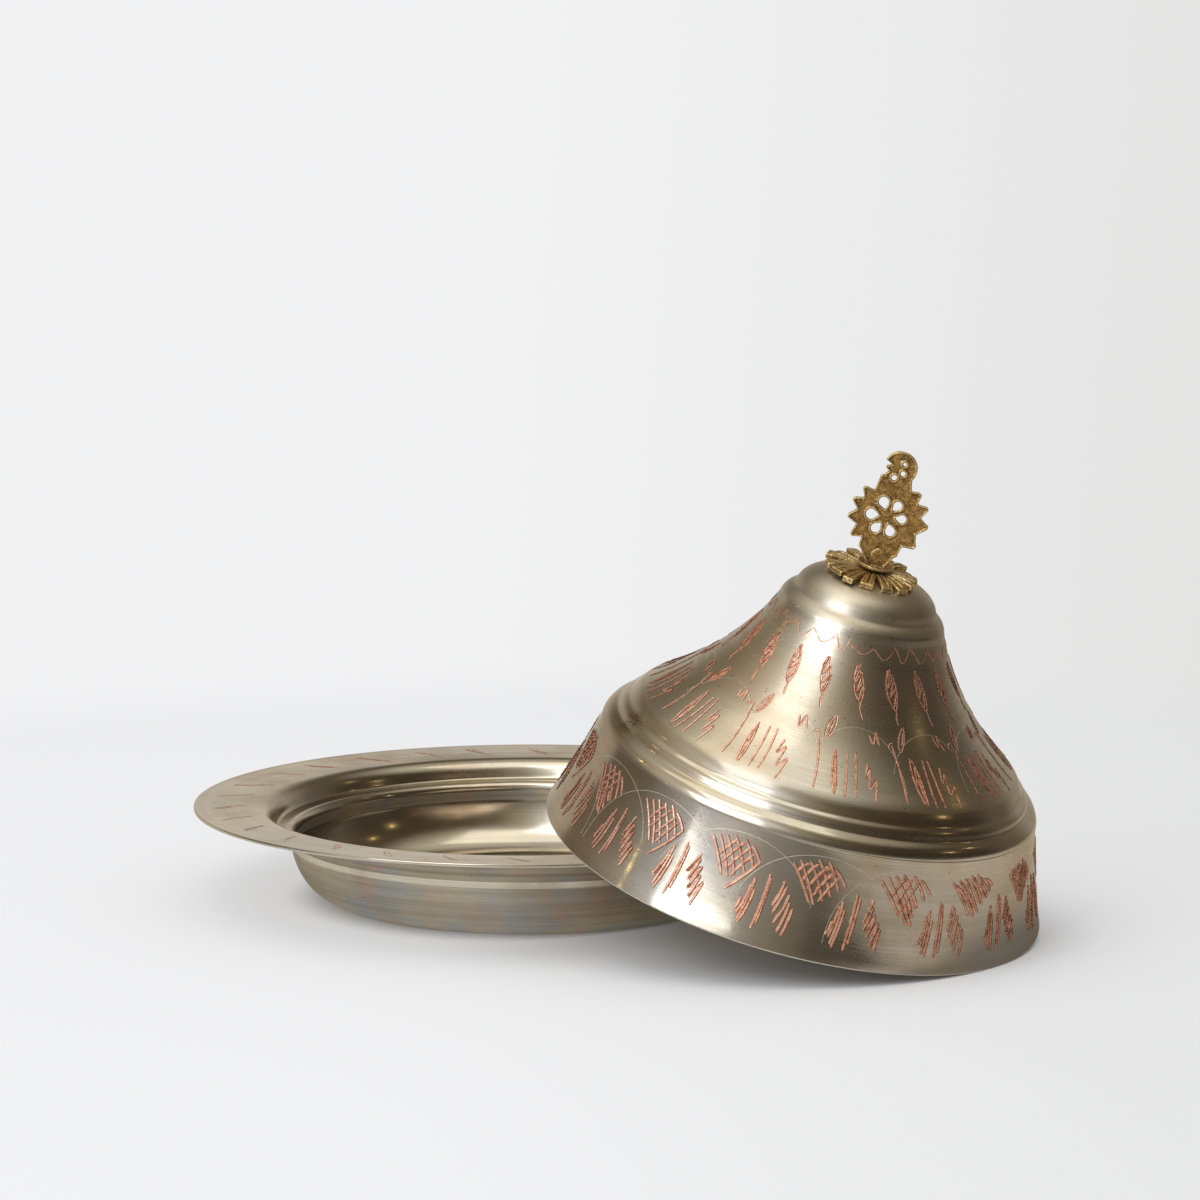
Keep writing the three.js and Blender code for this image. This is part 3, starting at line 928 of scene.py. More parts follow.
@dataclass(frozen=True)
class TinnedSheet:
    """Worn satin tin on turned copper sheet.

    A share says how far a layer covers what is under it. A zone is a height, and what the roughness
    gains below it and above it.
    """

    name: str
    slot: Slot
    colour: Colour
    stain: Colour
    stain_share: float = 0.6
    bloom: Colour = (0.46, 0.49, 0.56, 1)
    bloom_share: float = 0.4
    flush: Colour = (0.76, 0.53, 0.43, 1)
    flush_share: float = 0.18
    clouds: float = 20.0
    groove: Colour = (0.40, 0.34, 0.25, 1)
    lined_share: float = 0.25
    speck: Colour = (0.07, 0.055, 0.045, 1)
    speck_share: float = 0.8
    rub: Colour = (0.74, 0.60, 0.48, 1)
    rub_share: float = 0.5
    roughness: float = 0.2
    roughness_swing: tuple[float, float] = (-0.03, 0.05)
    tarnish_roughness: float = 0.07
    scuff_roughness: float = 0.08
    streak: float = 0.35
    grazing: Colour = (0.74, 0.70, 0.63, 1)
    lines: float = 2600.0
    relief: float = 0.03 * MM
    sore: tuple[float, float, float] | None = None
    sore_reach: float = 7 * MM
    sore_core: float = 0.35
    zones: tuple[tuple[float, float, float], ...] = ()
    zone_softness: float = 0.5 * MM

    def build(self, effects: SharedEffects) -> bpy.types.Material:
        """Makes the material.

        Args:
            effects: The shared node groups.

        Returns:
            The material.
        """
        material, graph, shader = empty_material(self.name, self.slot)
        vector = graph.attribute("own")
        marks = graph.effect(effects.turning_marks, vector, Lines=self.lines)
        tarnish = graph.effect(effects.tarnish, vector)
        scuffs = graph.effect(effects.scuffs, vector, Density=0.45)
        wear = graph.effect(effects.edge_wear, vector, Sharpness=0.1)
        staining = graph.math("MULTIPLY", tarnish["Mask"], self.stain_share)
        stained = graph.blend(staining, self._clouded(graph, vector), self.stain)
        lined = graph.blend(graph.ramp(marks["Tone"], 0.42, 0.6, 0.0, self.lined_share), stained, self.groove)
        rubbed = graph.blend(graph.math("MULTIPLY", wear["Edge"], self.rub_share), lined, self.rub)
        graph.feed(shader, {
            "Base Color": graph.blend(self._pitted(graph, vector, tarnish["Speck"]), rubbed, self.speck),
            "Roughness": graph.total(
                graph.ramp(marks["Tone"], 0.3, 0.7, *self.roughness_swing), self.roughness,
                *self._zoned(graph, vector),
                graph.math("MULTIPLY", tarnish["Mask"], self.tarnish_roughness),
                graph.math("MULTIPLY", scuffs["Mask"], self.scuff_roughness),
                graph.ramp(graph.noise(vector, 2200, 3, 0.7), 0.3, 0.7, *self.roughness_swing),
            ),
            "Normal": graph.bump(marks["Height"], self.relief),
            "Tangent": graph.attribute("around"),
            "Metallic": 1,
            "Specular Tint": self.grazing,
            "Anisotropic": self.streak,
            "Anisotropic Rotation": 0.25,
        })
        return material

    def _clouded(self, graph: Graph, vector: Any) -> bpy.types.NodeSocket:
        """The tin's colour with its bluish bloom and its copper flush."""
        wide = graph.noise(vector, self.clouds, 3, 0.55)
        small = graph.noise(vector, self.clouds * 1.5, 3, 0.6)
        bloomed = graph.blend(graph.ramp(wide, 0.42, 0.66, 0.0, self.bloom_share), self.colour, self.bloom)
        return graph.blend(graph.ramp(small, 0.48, 0.7, 0.0, self.flush_share), bloomed, self.flush)

    def _pitted(self, graph: Graph, vector: Any, specks: Any) -> bpy.types.NodeSocket:
        """Where the sheet is dark: in its specks and in the crumbs of its sore place."""
        pitted = graph.math("MULTIPLY", specks, self.speck_share)
        if self.sore is None:
            return pitted
        crumbs = graph.ramp(graph.noise(vector, 1900, 4, 0.75), 0.49, 0.57)
        away = graph.reach(vector, self.sore)
        near = graph.ramp(away, self.sore_reach * self.sore_core, self.sore_reach, 1.0, 0.0)
        return graph.math("MAXIMUM", pitted, graph.math("MULTIPLY", crumbs, near))

    def _zoned(self, graph: Graph, vector: Any) -> list[bpy.types.NodeSocket]:
        """What the roughness gains in each zone."""
        height = graph.node("ShaderNodeSeparateXYZ", {0: vector}).outputs["Z"]
        return [
            graph.ramp(height, level - self.zone_softness, level + self.zone_softness, below, above)
            for level, below, above in self.zones
        ]


@dataclass(frozen=True)
class CutMetal:
    """Bright metal laid bare by the graver, with a painted highlight along each cut and painted shade at its
    edges, heavier on one side.
    """

    name: str
    slot: Slot
    colour: Colour
    shade: Colour
    roughness: float = 0.38
    metallic: float = 0.78
    grain: float = 1500.0
    relief: float = 0.18 * MM
    beads: float = 520.0
    # Painted highlight: a pale colour laid down the middle of each cut.
    painted_glint: Colour = (1.0, 0.80, 0.68, 1)
    painted_glint_share: float = 0.8
    painted_glint_range: tuple[float, float] = (0.16, 0.46)
    painted_glint_polish: float = 0.14
    # Moves the painted highlight towards one side of the cut and widens the painted shade on the other.
    lean: float = 0.2
    # Painted shade: a dark colour laid along each cut's edges.
    painted_edge_shade: Colour = (0.10, 0.035, 0.022, 1)
    painted_edge_shade_share: float = 0.9
    painted_edge_shade_range: tuple[float, float] = (0.56, 0.78)

    def build(self, effects: SharedEffects) -> bpy.types.Material:
        """Makes the material.

        Args:
            effects: The shared node groups.

        Returns:
            The material.
        """
        material, graph, shader = empty_material(self.name, self.slot)
        vector = graph.node("ShaderNodeTexCoord").outputs["Object"]
        grain = graph.effect(effects.cast_grain, vector, Scale=self.grain)
        tarnish = graph.effect(effects.tarnish, vector)
        mixed = graph.blend(graph.math("MULTIPLY", grain["Tone"], 0.6), self.shade, self.colour)
        dulled = graph.blend(graph.math("MULTIPLY", tarnish["Mask"], 0.3), mixed, self.shade)
        uneven = graph.noise(vector, self.beads, 2, 0.5)
        across = graph.math("ABSOLUTE", graph.math("SUBTRACT", graph.attribute("across", "Fac"), self.lean))
        # Painted highlight down each cut's middle, broken up by noise, with less roughness under it.
        painted_glint_core = graph.ramp(across, *self.painted_glint_range, self.painted_glint_share, 0.0)
        painted_glint_mask = graph.math("MULTIPLY", painted_glint_core, graph.ramp(uneven, 0.36, 0.6, 0.3, 1.0))
        # Painted shade along each cut's edges, ragged by noise.
        ragged = graph.math("ADD", across, graph.ramp(uneven, 0.3, 0.6, 0.14, -0.1))
        edge_shade_mask = graph.ramp(ragged, *self.painted_edge_shade_range, 0.0, self.painted_edge_shade_share)
        rough = graph.ramp(grain["Tone"], 0, 1, self.roughness + 0.1, self.roughness - 0.08)
        polish = graph.math("MULTIPLY", painted_glint_mask, self.painted_glint_polish)
        graph.feed(shader, {
            "Base Color": graph.blend(edge_shade_mask, graph.blend(painted_glint_mask, dulled, self.painted_glint), self.painted_edge_shade),
            "Roughness": graph.math("SUBTRACT", rough, polish, clamp=True),
            "Normal": graph.bump(grain["Height"], self.relief, 0.8),
            "Metallic": self.metallic,
        })
        return material


@dataclass(frozen=True)
class CastBrass:
    """Rough cast brass, rubbed bright on its edges and brown in its hollows."""

    name: str = "rough_cast_brass"
    slot: Slot = Slot.BRASS
    colour: Colour = (0.80, 0.50, 0.165, 1)
    bright: Colour = (1.0, 0.87, 0.50, 1)
    hollow: Colour = (0.22, 0.115, 0.035, 1)
    hollow_share: float = 0.8
    sandy_share: float = 0.65
    roughness: float = 0.36
    edge_polish: float = 0.12
    metallic: float = 0.92
    relief: float = 0.5 * MM
    grain: float = 1500.0

    def build(self, effects: SharedEffects) -> bpy.types.Material:
        """Makes the material.

        Args:
            effects: The shared node groups.

        Returns:
            The material.
        """
        material, graph, shader = empty_material(self.name, self.slot)
        vector = graph.node("ShaderNodeTexCoord").outputs["Object"]
        grain = graph.effect(effects.cast_grain, vector, Scale=self.grain)
        wear = graph.effect(effects.edge_wear, vector, Sharpness=0.05)
        sandy = graph.blend(graph.math("MULTIPLY", grain["Tone"], self.sandy_share), self.hollow, self.colour)
        shaded = graph.blend(graph.math("MULTIPLY", wear["Hollow"], self.hollow_share), sandy, self.hollow)
        rough = graph.ramp(wear["Edge"], 0, 1, self.roughness, self.roughness - self.edge_polish)
        graph.feed(shader, {
            "Base Color": graph.blend(wear["Edge"], shaded, self.bright),
            "Roughness": graph.total(rough, graph.ramp(grain["Tone"], 0, 1, 0.14, -0.04)),
            "Normal": graph.bump(grain["Height"], self.relief, 0.9),
            "Metallic": self.metallic,
        })
        return material


@dataclass(frozen=True)
class Finishes:
    """Every finish of the object."""

    dish: bpy.types.Material
    dish_outside: bpy.types.Material
    lid: bpy.types.Material
    # The painted highlight along the lid's rim.
    rim_highlight: bpy.types.Material
    copper: bpy.types.Material
    scribed: bpy.types.Material
    brass: bpy.types.Material

    @classmethod
    def build(cls, sore: tuple[float, float, float]) -> "Finishes":
        """Builds the shared effects and the finishes.

        Args:
            sore: Where the lid's sheet is rough and pitted, in the lid's own frame.

        Returns:
            The finishes.
        """
        dish = TinnedSheet(
            "tinned_dish_inside", Slot.DISH, (0.76, 0.72, 0.64, 1), (0.52, 0.44, 0.32, 1), roughness=0.13)
        outside = TinnedSheet(
            "tinned_dish_outside", Slot.DISH, (0.67, 0.62, 0.51, 1), (0.53, 0.46, 0.33, 1),
            bloom=(0.47, 0.54, 0.64, 1), bloom_share=0.8, flush_share=0.85, clouds=46,
            lined_share=0.5, roughness=0.44, streak=0.6, lines=3400, relief=0.12 * MM)
        lid = TinnedSheet(
            "tinned_lid_sheet", Slot.LID, (0.67, 0.625, 0.54, 1), (0.53, 0.45, 0.33, 1),
            sore=sore, roughness=0.25,
            zones=((35.7 * MM, -0.03, 0.0), (48 * MM, -0.12, 0.0), (94 * MM, 0.0, 0.12)))
        pale, grey, painted_glint = (0.95, 0.89, 0.79, 1), (0.74, 0.67, 0.55, 1), (1.0, 0.96, 0.88, 1)
        # The rim's lower edge gets a painted highlight: a pale finish standing in for light caught by the
        # rounded edge.
        rim_highlight = CutMetal("painted_rim_highlight", Slot.LID, pale, grey, metallic=0.6, painted_glint=painted_glint)
        copper = CutMetal("cut_copper", Slot.LID, (0.98, 0.52, 0.35, 1), (0.70, 0.27, 0.15, 1))
        scribed = CutMetal("scribed_tin", Slot.LID, pale, grey, metallic=0.8, painted_glint=painted_glint, painted_edge_shade_share=0.4)
        effects = SharedEffects()
        finishes = (dish, outside, lid, rim_highlight, copper, scribed, CastBrass())
        return cls(*(finish.build(effects) for finish in finishes))


# Placing


def settle(piece: bpy.types.Object, material: bpy.types.Material, body: Body, slot: Slot,
           place: Matrix | None = None, nodes: Sequence[str] = ()) -> None:
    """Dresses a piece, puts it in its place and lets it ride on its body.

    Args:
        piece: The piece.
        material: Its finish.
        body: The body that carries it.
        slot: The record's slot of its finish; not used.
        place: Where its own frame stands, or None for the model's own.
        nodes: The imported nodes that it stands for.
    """
    piece.data.materials.clear()
    piece.data.materials.append(material)
    if place is not None:
        piece.data.transform(place)
    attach(piece, body.value)
    if nodes:
        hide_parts(*nodes)
    log.info("%s: %d faces on %s", piece.name, len(piece.data.polygons), body.value)


def keep_turning(sheet: bpy.types.Object, place: Matrix) -> None:
    """Stores what the finish of a turned sheet follows, before the sheet is put in its place.

    Args:
        sheet: The sheet, upright about its own axis.
        place: Where its own frame will stand.
    """
    mesh = sheet.data
    own = np.array([tuple(v.co) for v in mesh.vertices])
    around = np.stack([-own[:, 1], own[:, 0], np.zeros(len(own))], axis=1)
    around[np.hypot(own[:, 0], own[:, 1]) < NEGLIGIBLE] = (1, 0, 0)
    around /= np.linalg.norm(around, axis=1)[:, None]
    around = around @ np.array(place.to_3x3()).T
    for label, values in (("own", own), ("around", around)):
        mesh.attributes.new(label, "FLOAT_VECTOR", "POINT").data.foreach_set("vector", values.ravel())


def distinct_points(node: str) -> np.ndarray:
    """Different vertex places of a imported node, in metres."""
    places = np.array([tuple(v.co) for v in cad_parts[node].data.vertices])
    return np.unique(places.round(7), axis=0)


@dataclass(frozen=True)
class LidPlace:
    """Frame of the leaning lid: +Z on its axis, +X down its slope, origin at the rim's centre."""

    matrix: Matrix

    @classmethod
    def from_model(cls) -> "LidPlace":
        """Reads the lid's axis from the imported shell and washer, which are both turned about it."""
        shell = distinct_points("lid_shell")
        middle = shell.mean(axis=0)
        axis = distinct_points("lid_washer").mean(axis=0) - middle
        axis /= np.linalg.norm(axis)
        rim = middle + axis * ((shell - middle) @ axis).min()
        up = Vector(axis)
        side = Vector((-up.y, up.x, 0)).normalized()
        down = side.cross(up)
        matrix = Matrix((down, side, up)).transposed().to_4x4()
        matrix.translation = Vector(rim)
        return cls(matrix)

    def turned(self, bearing: float) -> Matrix:
        """The lid's frame turned about its axis so that -Y faces a bearing of the model."""
        own = math.atan2(self.matrix[1][2], self.matrix[0][2])
        return self.matrix @ Matrix.Rotation(bearing + math.pi / 2 - own, 4, "Z")


# Dish


@dataclass
class Dish:
    """Shallow dish spun from one sheet, with a wide flange and a ledge for the lid."""

    sheet: float = 1.2 * MM
    height: float = 34.1 * MM
    flange_width: float = 22.2 * MM
    flange_fall: float = 1.3 * MM
    lip_run: float = 6.8 * MM
    ledge_outer: float = 91 * MM
    ledge_width: float = 5.4 * MM
    ledge_height: float = 25.6 * MM
    bead_depth: float = 3.2 * MM
    bead_bulge: float = 2.2 * MM
    crease_rise: float = 3 * MM
    crease_set: float = 1.2 * MM
    base_radius: float = 69.8 * MM
    softness: float = 0.25 * MM
    inside_softness: float = 0.9 * MM
    outside_softness: float = 2.4 * MM
    facets: int = 320
    leaf_count: int = 30
    leaf_first: float = math.radians(171)
    leaf_looseness: float = 0.02
    leaf_foot: float = 101.5
    leaf_reach: float = 12.0
    leaf_slant: float = -8.5
    graver: Graver = Graver(0.55 * MM, 0.05 * MM, 0.12 * MM)
    lip_corner: Corner = Corner(0.85, 0.08)
    bead_corner: Corner = Corner(0.85, 0.1)
    crease_corner: Corner = Corner(0.1, 0.6)
    wall_corner: Corner = Corner(0.21, 0.86)

    @property
    def flange_inner(self) -> float:
        """Radius where the flange meets the lip."""
        return self.ledge_outer + self.lip_run

    @property
    def flange_outer(self) -> float:
        """Radius of the flange's edge."""
        return self.flange_inner + self.flange_width

    def inside(self) -> Profile:
        """The upper face from the flange's edge to the middle."""
        face = Profile(self.flange_outer, self.height)
        face.line_to(self.flange_inner, self.height - self.flange_fall)
        face.bend_to(self.ledge_outer, self.ledge_height, self.lip_corner)
        face.line_to(self.ledge_outer - self.ledge_width, self.ledge_height)
        bead = face.end - Vector((self.bead_bulge, self.bead_depth))
        face.bend_to(bead.x, bead.y, self.bead_corner)
        face.bend_to(bead.x + self.crease_set, bead.y - self.crease_rise, self.crease_corner)
        face.bend_to(self.base_radius, self.sheet, self.wall_corner)
        face.line_to(0, self.sheet)
        return face

    def build(self, finishes: Finishes) -> None:
        """Makes the spun sheet and the leaves cut in its flange."""
        face = self.inside()
        underside = Profile.softened([*reversed(face.offset(self.sheet))], self.outside_softness, False)
        outline = [*underside, *Profile.softened(face.points, self.inside_softness, False)]
        form = Form()
        form.add_turned(Profile.softened(outline, self.softness, False), self.facets)
        sheet = form.build("dish_sheet")
        keep_turning(sheet, Matrix())
        settle(sheet, finishes.dish, Body.DISH, Slot.DISH, nodes=["dish"])
        sheet.data.materials.append(finishes.dish_outside)
        for side in sheet.data.polygons:
            if side.normal.z < 0 and side.center.xy.length < self.flange_outer - self.sheet / 2:
                side.material_index = 1
        rng = random.Random(11)
        middle = self.flange_inner + self.flange_width / 2
        cuts = []
        for motif in Band(self.leaf_count, self.leaf_first, middle, self.leaf_looseness).motifs(rng):
            cuts += flange_leaf(motif, self.leaf_foot, self.leaf_reach, self.leaf_slant)
        leaves = self.graver.lay("dish_flange_leaves", TurnedSurface(face.points[:2], False), cuts, rng)
        settle(leaves, finishes.copper, Body.DISH, Slot.DISH)


# Lid


@dataclass
class Lid:
    """Bell-shaped lid spun from one sheet, engraved on its skirt and its bell.

    A ring, the shoulder and the bell each go in by a run and up by a rise.
    """

    place: LidPlace
    sheet: float = 1.1 * MM
    rim_radius: float = 86.9 * MM
    skirt_height: float = 35.5 * MM
    skirt_taper: float = 11.3 * MM
    ring_lip: float = 0.4 * MM
    lower_ring: tuple[float, float] = (4.7 * MM, 4.8 * MM)
    upper_ring: tuple[float, float] = (2.9 * MM, 3.9 * MM)
    shoulder: tuple[float, float] = (6.9 * MM, 7 * MM)
    bell: tuple[float, float] = (32.9 * MM, 40.3 * MM)
    neck_ring: tuple[float, float] = (4.1 * MM, 5.1 * MM)
    crown_rise: float = 8.9 * MM
    crown_flat: float = 8 * MM
    bore: float = 2.5 * MM
    softness: float = 0.25 * MM
    ring_softness: float = 0.65 * MM
    # Height below which the rim's faces carry the painted highlight.
    rim_highlight_band: float = 0.22 * MM
    facets: int = 320
    dent_turn: float = math.radians(-125.6)
    dent_height: float = 42.5 * MM
    fan_styles: tuple[FanStyle, ...] = (
        FanStyle.GRID, FanStyle.CLOSE_GRID, FanStyle.SCRIBBLED, FanStyle.STROKES, FanStyle.CLOSE_GRID,
        FanStyle.STROKES, FanStyle.GRID, FanStyle.SCRIBBLED,
    )
    fans: Band = Band(17, math.radians(-73.1), 79 * MM)
    sprigs: Band = Band(12, math.radians(-48.1), 55 * MM, 0.02)
    stems: Band = Band(12, math.radians(-48.1), 50 * MM, 0.03)
    leaves: Band = Band(19, math.radians(-67.6), 35.5 * MM, 0.03)
    waves: Band = Band(27, math.radians(-59.6), 30 * MM, 0.055)
    fan_arches: Band = Band(17, math.radians(-73.1), 79 * MM, 0.03)
    sprig_arches: Band = Band(12, math.radians(-48.1), 52 * MM, 0.04)
    skirt_graver: Graver = Graver(1.2 * MM, 0.2 * MM, 0.08 * MM)
    bell_graver: Graver = Graver(0.8 * MM, 0.15 * MM, 0.05 * MM, 0.45 * MM)
    line_graver: Graver = Graver(0.46 * MM, 0.08 * MM, 0.04 * MM, 0.4 * MM)
    scriber: Graver = Graver(0.19 * MM, 0.025 * MM, 0.0)
    skirt_corner: Corner = Corner(0.56, 0.45)
    ring_corner: Corner = Corner(0.18, 0.78)
    shoulder_corner: Corner = Corner(0.2, 0.5)
    bell_corner: Corner = Corner(0.72, 0.45)
    crown_corner: Corner = Corner(0.1, 0.95)

    def outside(self) -> Profile:
        """The outer face from the rim up to the bore in the crown."""
        face = Profile(self.rim_radius, 0)
        self._bend_by(face, (self.skirt_taper, self.skirt_height), self.skirt_corner)
        face.line_to(face.end.x + self.ring_lip, face.end.y)
        self._bend_by(face, self.lower_ring, self.ring_corner)
        self._bend_by(face, self.upper_ring, self.ring_corner)
        self._bend_by(face, self.shoulder, self.shoulder_corner)
        self._bend_by(face, self.bell, self.bell_corner)
        self._bend_by(face, self.neck_ring, self.ring_corner)
        self._bend_by(face, (face.end.x - self.crown_flat, self.crown_rise), self.crown_corner)
        face.line_to(self.bore, face.end.y)
        return face

    @staticmethod
    def _bend_by(face: Profile, step: tuple[float, float], corner: Corner) -> None:
        """Adds a curved stretch that goes in and up by a run and a rise."""
        face.bend_to(face.end.x - step[0], face.end.y + step[1], corner)

    @property
    def sore(self) -> tuple[float, float, float]:
        """Middle of the knocked and pitted place on the lower ring."""
        radius = TurnedSurface(self.outside().points, True).other(self.dent_height)
        return radius * math.cos(self.dent_turn), radius * math.sin(self.dent_turn), self.dent_height

    def skirt_cuts(self, rng: random.Random) -> list[Cut]:
        """Fans and sprigs that take turns round the skirt."""
        cuts = []
        for index, motif in enumerate(self.fans.motifs(rng)):
            cuts += fan(motif, self.fan_styles[index % len(self.fan_styles)])
        for motif in self.fans.motifs(rng, 0.5):
            cuts += sprig(motif)
        return cuts

    def bell_cuts(self, rng: random.Random) -> list[Cut]:
        """Sprigs, stems and slanting leaves of the bell."""
        cuts = []
        for motif in self.sprigs.motifs(rng):
            cuts += bell_sprig(motif)
        for motif in self.stems.motifs(rng, 0.5):
            cuts += stem_and_leaves(motif)
        for motif in self.leaves.motifs(rng):
            cuts += outlined_leaf(motif, foot=71.4, reach=12.4, slant=3.6)
        return cuts

    def wave_cuts(self, rng: random.Random) -> list[Cut]:
        """The running line round the bell's top."""
        return running_wave(self.waves.motifs(rng), low=86.6, high=90.8)

    def scribed_cuts(self, rng: random.Random) -> list[Cut]:
        """Thin arches scribed over the motifs of the skirt and the bell."""
        cuts = []
        for motif in self.fan_arches.motifs(rng):
            cuts += arch(motif, foot=6, top=32.4, half_span=27)
        for motif in self.sprig_arches.motifs(rng):
            cuts += arch(motif, foot=52, top=66.8, half_span=16)
        return cuts

    def build(self, finishes: Finishes) -> None:
        """Makes the spun shell and its engraving."""
        face = self.outside()
        lip = Profile.bend_steps + 1
        outer = [*face.points[:lip], *Profile.softened(face.points[lip:], self.ring_softness, False)]
        outline = [*outer, *reversed(face.offset(self.sheet))]
        form = Form()
        form.add_turned(Profile.softened(outline, self.softness, True), self.facets, True)
        shell = form.build("lid_sheet")
        matrix = self.place.matrix
        # Faces along the rim's lower edge take the painted highlight.
        rim = [side.index for side in shell.data.polygons if side.center.z < self.rim_highlight_band]
        keep_turning(shell, matrix)
        settle(shell, finishes.lid, Body.LID, Slot.LID, matrix, ["lid_shell"])
        shell.data.materials.append(finishes.rim_highlight)
        for index in rim:
            shell.data.polygons[index].material_index = 1
        surface = TurnedSurface(outer, True)
        rng = random.Random(7)
        for name, graver, cuts, finish in (
            ("lid_skirt_engraving", self.skirt_graver, self.skirt_cuts, finishes.copper),
            ("lid_bell_engraving", self.bell_graver, self.bell_cuts, finishes.copper),
            ("lid_running_line", self.line_graver, self.wave_cuts, finishes.copper),
            ("lid_scribed_arches", self.scriber, self.scribed_cuts, finishes.scribed),
        ):
            settle(graver.lay(name, surface, cuts(rng), rng), finish, Body.LID, Slot.LID, matrix)
        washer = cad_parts["lid_washer"]
        washer.data.materials.clear()
        washer.data.materials.append(finishes.brass)


# Finial


@dataclass(frozen=True)
class Casting:
    """Fuses overlapping forms into one skin and gives it a rough cast surface."""

    voxel: float = 0.2 * MM
    smoothing: int = 3
    lumps: tuple[tuple[float, float], ...] = ((0.9 * MM, 0.045 * MM), (2.6 * MM, 0.09 * MM))

    def pour(self, piece: bpy.types.Object) -> bpy.types.Object:
        """Replaces the piece's mesh by its cast form.

        Args:
            piece: Closed forms that may overlap.

        Returns:
            The same object.
        """
        remesh = piece.modifiers.new("fuse", "REMESH")
        remesh.mode = "VOXEL"
        remesh.voxel_size = self.voxel
        smooth = piece.modifiers.new("soften", "SMOOTH")
        smooth.factor = 0.5
        smooth.iterations = self.smoothing
        shown = piece.evaluated_get(bpy.context.evaluated_depsgraph_get())
        mesh = bpy.data.meshes.new_from_object(shown)
        mesh.name = piece.name
        piece.modifiers.clear()
        piece.data = mesh
        moves = []
        for vertex in mesh.vertices:
            lift = sum(depth * noise.noise(vertex.co / size) for size, depth in self.lumps)
            moves.append(vertex.co + vertex.normal * lift)
        mesh.vertices.foreach_set("co", np.array([tuple(m) for m in moves]).ravel())
        mesh.shade_smooth()
        mesh.update()
        return piece


@dataclass
class Rosette:
    """Cast sunburst of ridged bars under the finial."""

    place: LidPlace
    bearing: float = math.radians(-92)
    bottom: float = 105.8 * MM
    count: int = 15
    tip_radius: float = 17.6 * MM
    root_radius: float = 3 * MM
    thickness: float = 1.6 * MM
    tip_thickness: float = 1.3 * MM
    root_half_width: float = 0.9 * MM
    tip_half_width: float = 2.55 * MM
    rib: float = 0.75 * MM
    droop: float = 1.2 * MM
    hub_radius: float = 6.5 * MM
    hub_facets: int = 48
    bar_steps: int = 7
    section: tuple[tuple[float, float], ...] = (
        (-1, 0), (1, 0), (1, 0.8), (0.8, 1.12), (0.24, 1.15),
        (0.1, 0.7), (-0.08, 0.7), (-0.24, 1.1), (-0.82, 1.08), (-1, 0.75),
    )
    tip_rise: float = 0.98
    tip_shrinkage: float = 0.86
    widening: float = 0.8
    usual_reach: float = 0.92
    right_shortening: float = 0.06
    right_sinking: float = 0.4 * MM
    reach_range: tuple[float, float] = (-0.05, 0.02)
    turn_range: tuple[float, float] = (-0.05, 0.05)
    lift_range: tuple[float, float] = (-0.8 * MM, 0.5 * MM)
    width_range: tuple[float, float] = (0.8, 1.15)
    casting: Casting = Casting(0.19 * MM, 1)

    def build(self, finishes: Finishes) -> None:
        """Makes the bars and the hub and casts them as one."""
        rng = random.Random(5)
        form = Form()
        for index in range(self.count):
            form.add_bar(self._bar(FULL_TURN * index / self.count, rng))
        levels = (self.bottom + self.thickness, self.bottom)
        form.add_bar([ring_points(self.hub_radius, level, self.hub_facets) for level in levels])
        rosette = self.casting.pour(form.build("finial_rosette"))
        settle(rosette, finishes.brass, Body.LID, Slot.BRASS, self.place.turned(self.bearing), ["rosette"])

    def _bend(self, radius: float, angle: float) -> float:
        """How far the rosette droops at its front and rises at its back."""
        return self.droop * max(radius - self.hub_radius, 0) * math.sin(angle) / self.tip_radius

    def _bar(self, angle: float, rng: random.Random) -> list[list[Vector]]:
        """Loops of one bar with three ribs along it, from the hub out to its closed tip.

        The section gives places across the bar, as shares of its half width, and heights, as shares of
        its thickness with the ribs.
        """
        usual = self.usual_reach - self.right_shortening * math.cos(angle)
        reach = self.tip_radius * (usual + rng.uniform(*self.reach_range))
        turn = angle + rng.uniform(*self.turn_range)
        lift = rng.uniform(*self.lift_range) - self.right_sinking * math.cos(angle)
        tip_half_width = self.tip_half_width * rng.uniform(*self.width_range)
        spin = Matrix.Rotation(turn, 3, "Z")
        loops = []
        for step in range(self.bar_steps + 1):
            share = step / self.bar_steps
            radius = self.root_radius + (reach - self.root_radius) * share
            half = self.root_half_width + (tip_half_width - self.root_half_width) * share ** self.widening
            depth = self.thickness + (self.tip_thickness - self.thickness) * share
            ribbed = depth + self.rib * min(1, 2 * share)
            blunt = self.tip_shrinkage if step == self.bar_steps else 1.0
            ending = max(0.0, 1 - (self.bar_steps - step) / 2)
            level = self.bottom + self._bend(radius, turn) + lift * share
            loop = []
            for across, up in self.section:
                filled = up + (self.tip_rise - up) * ending if up else 0.0
                loop.append(spin @ Vector((radius, across * half * blunt, level + filled * ribbed * blunt)))
            loops.append(loop)
        return loops


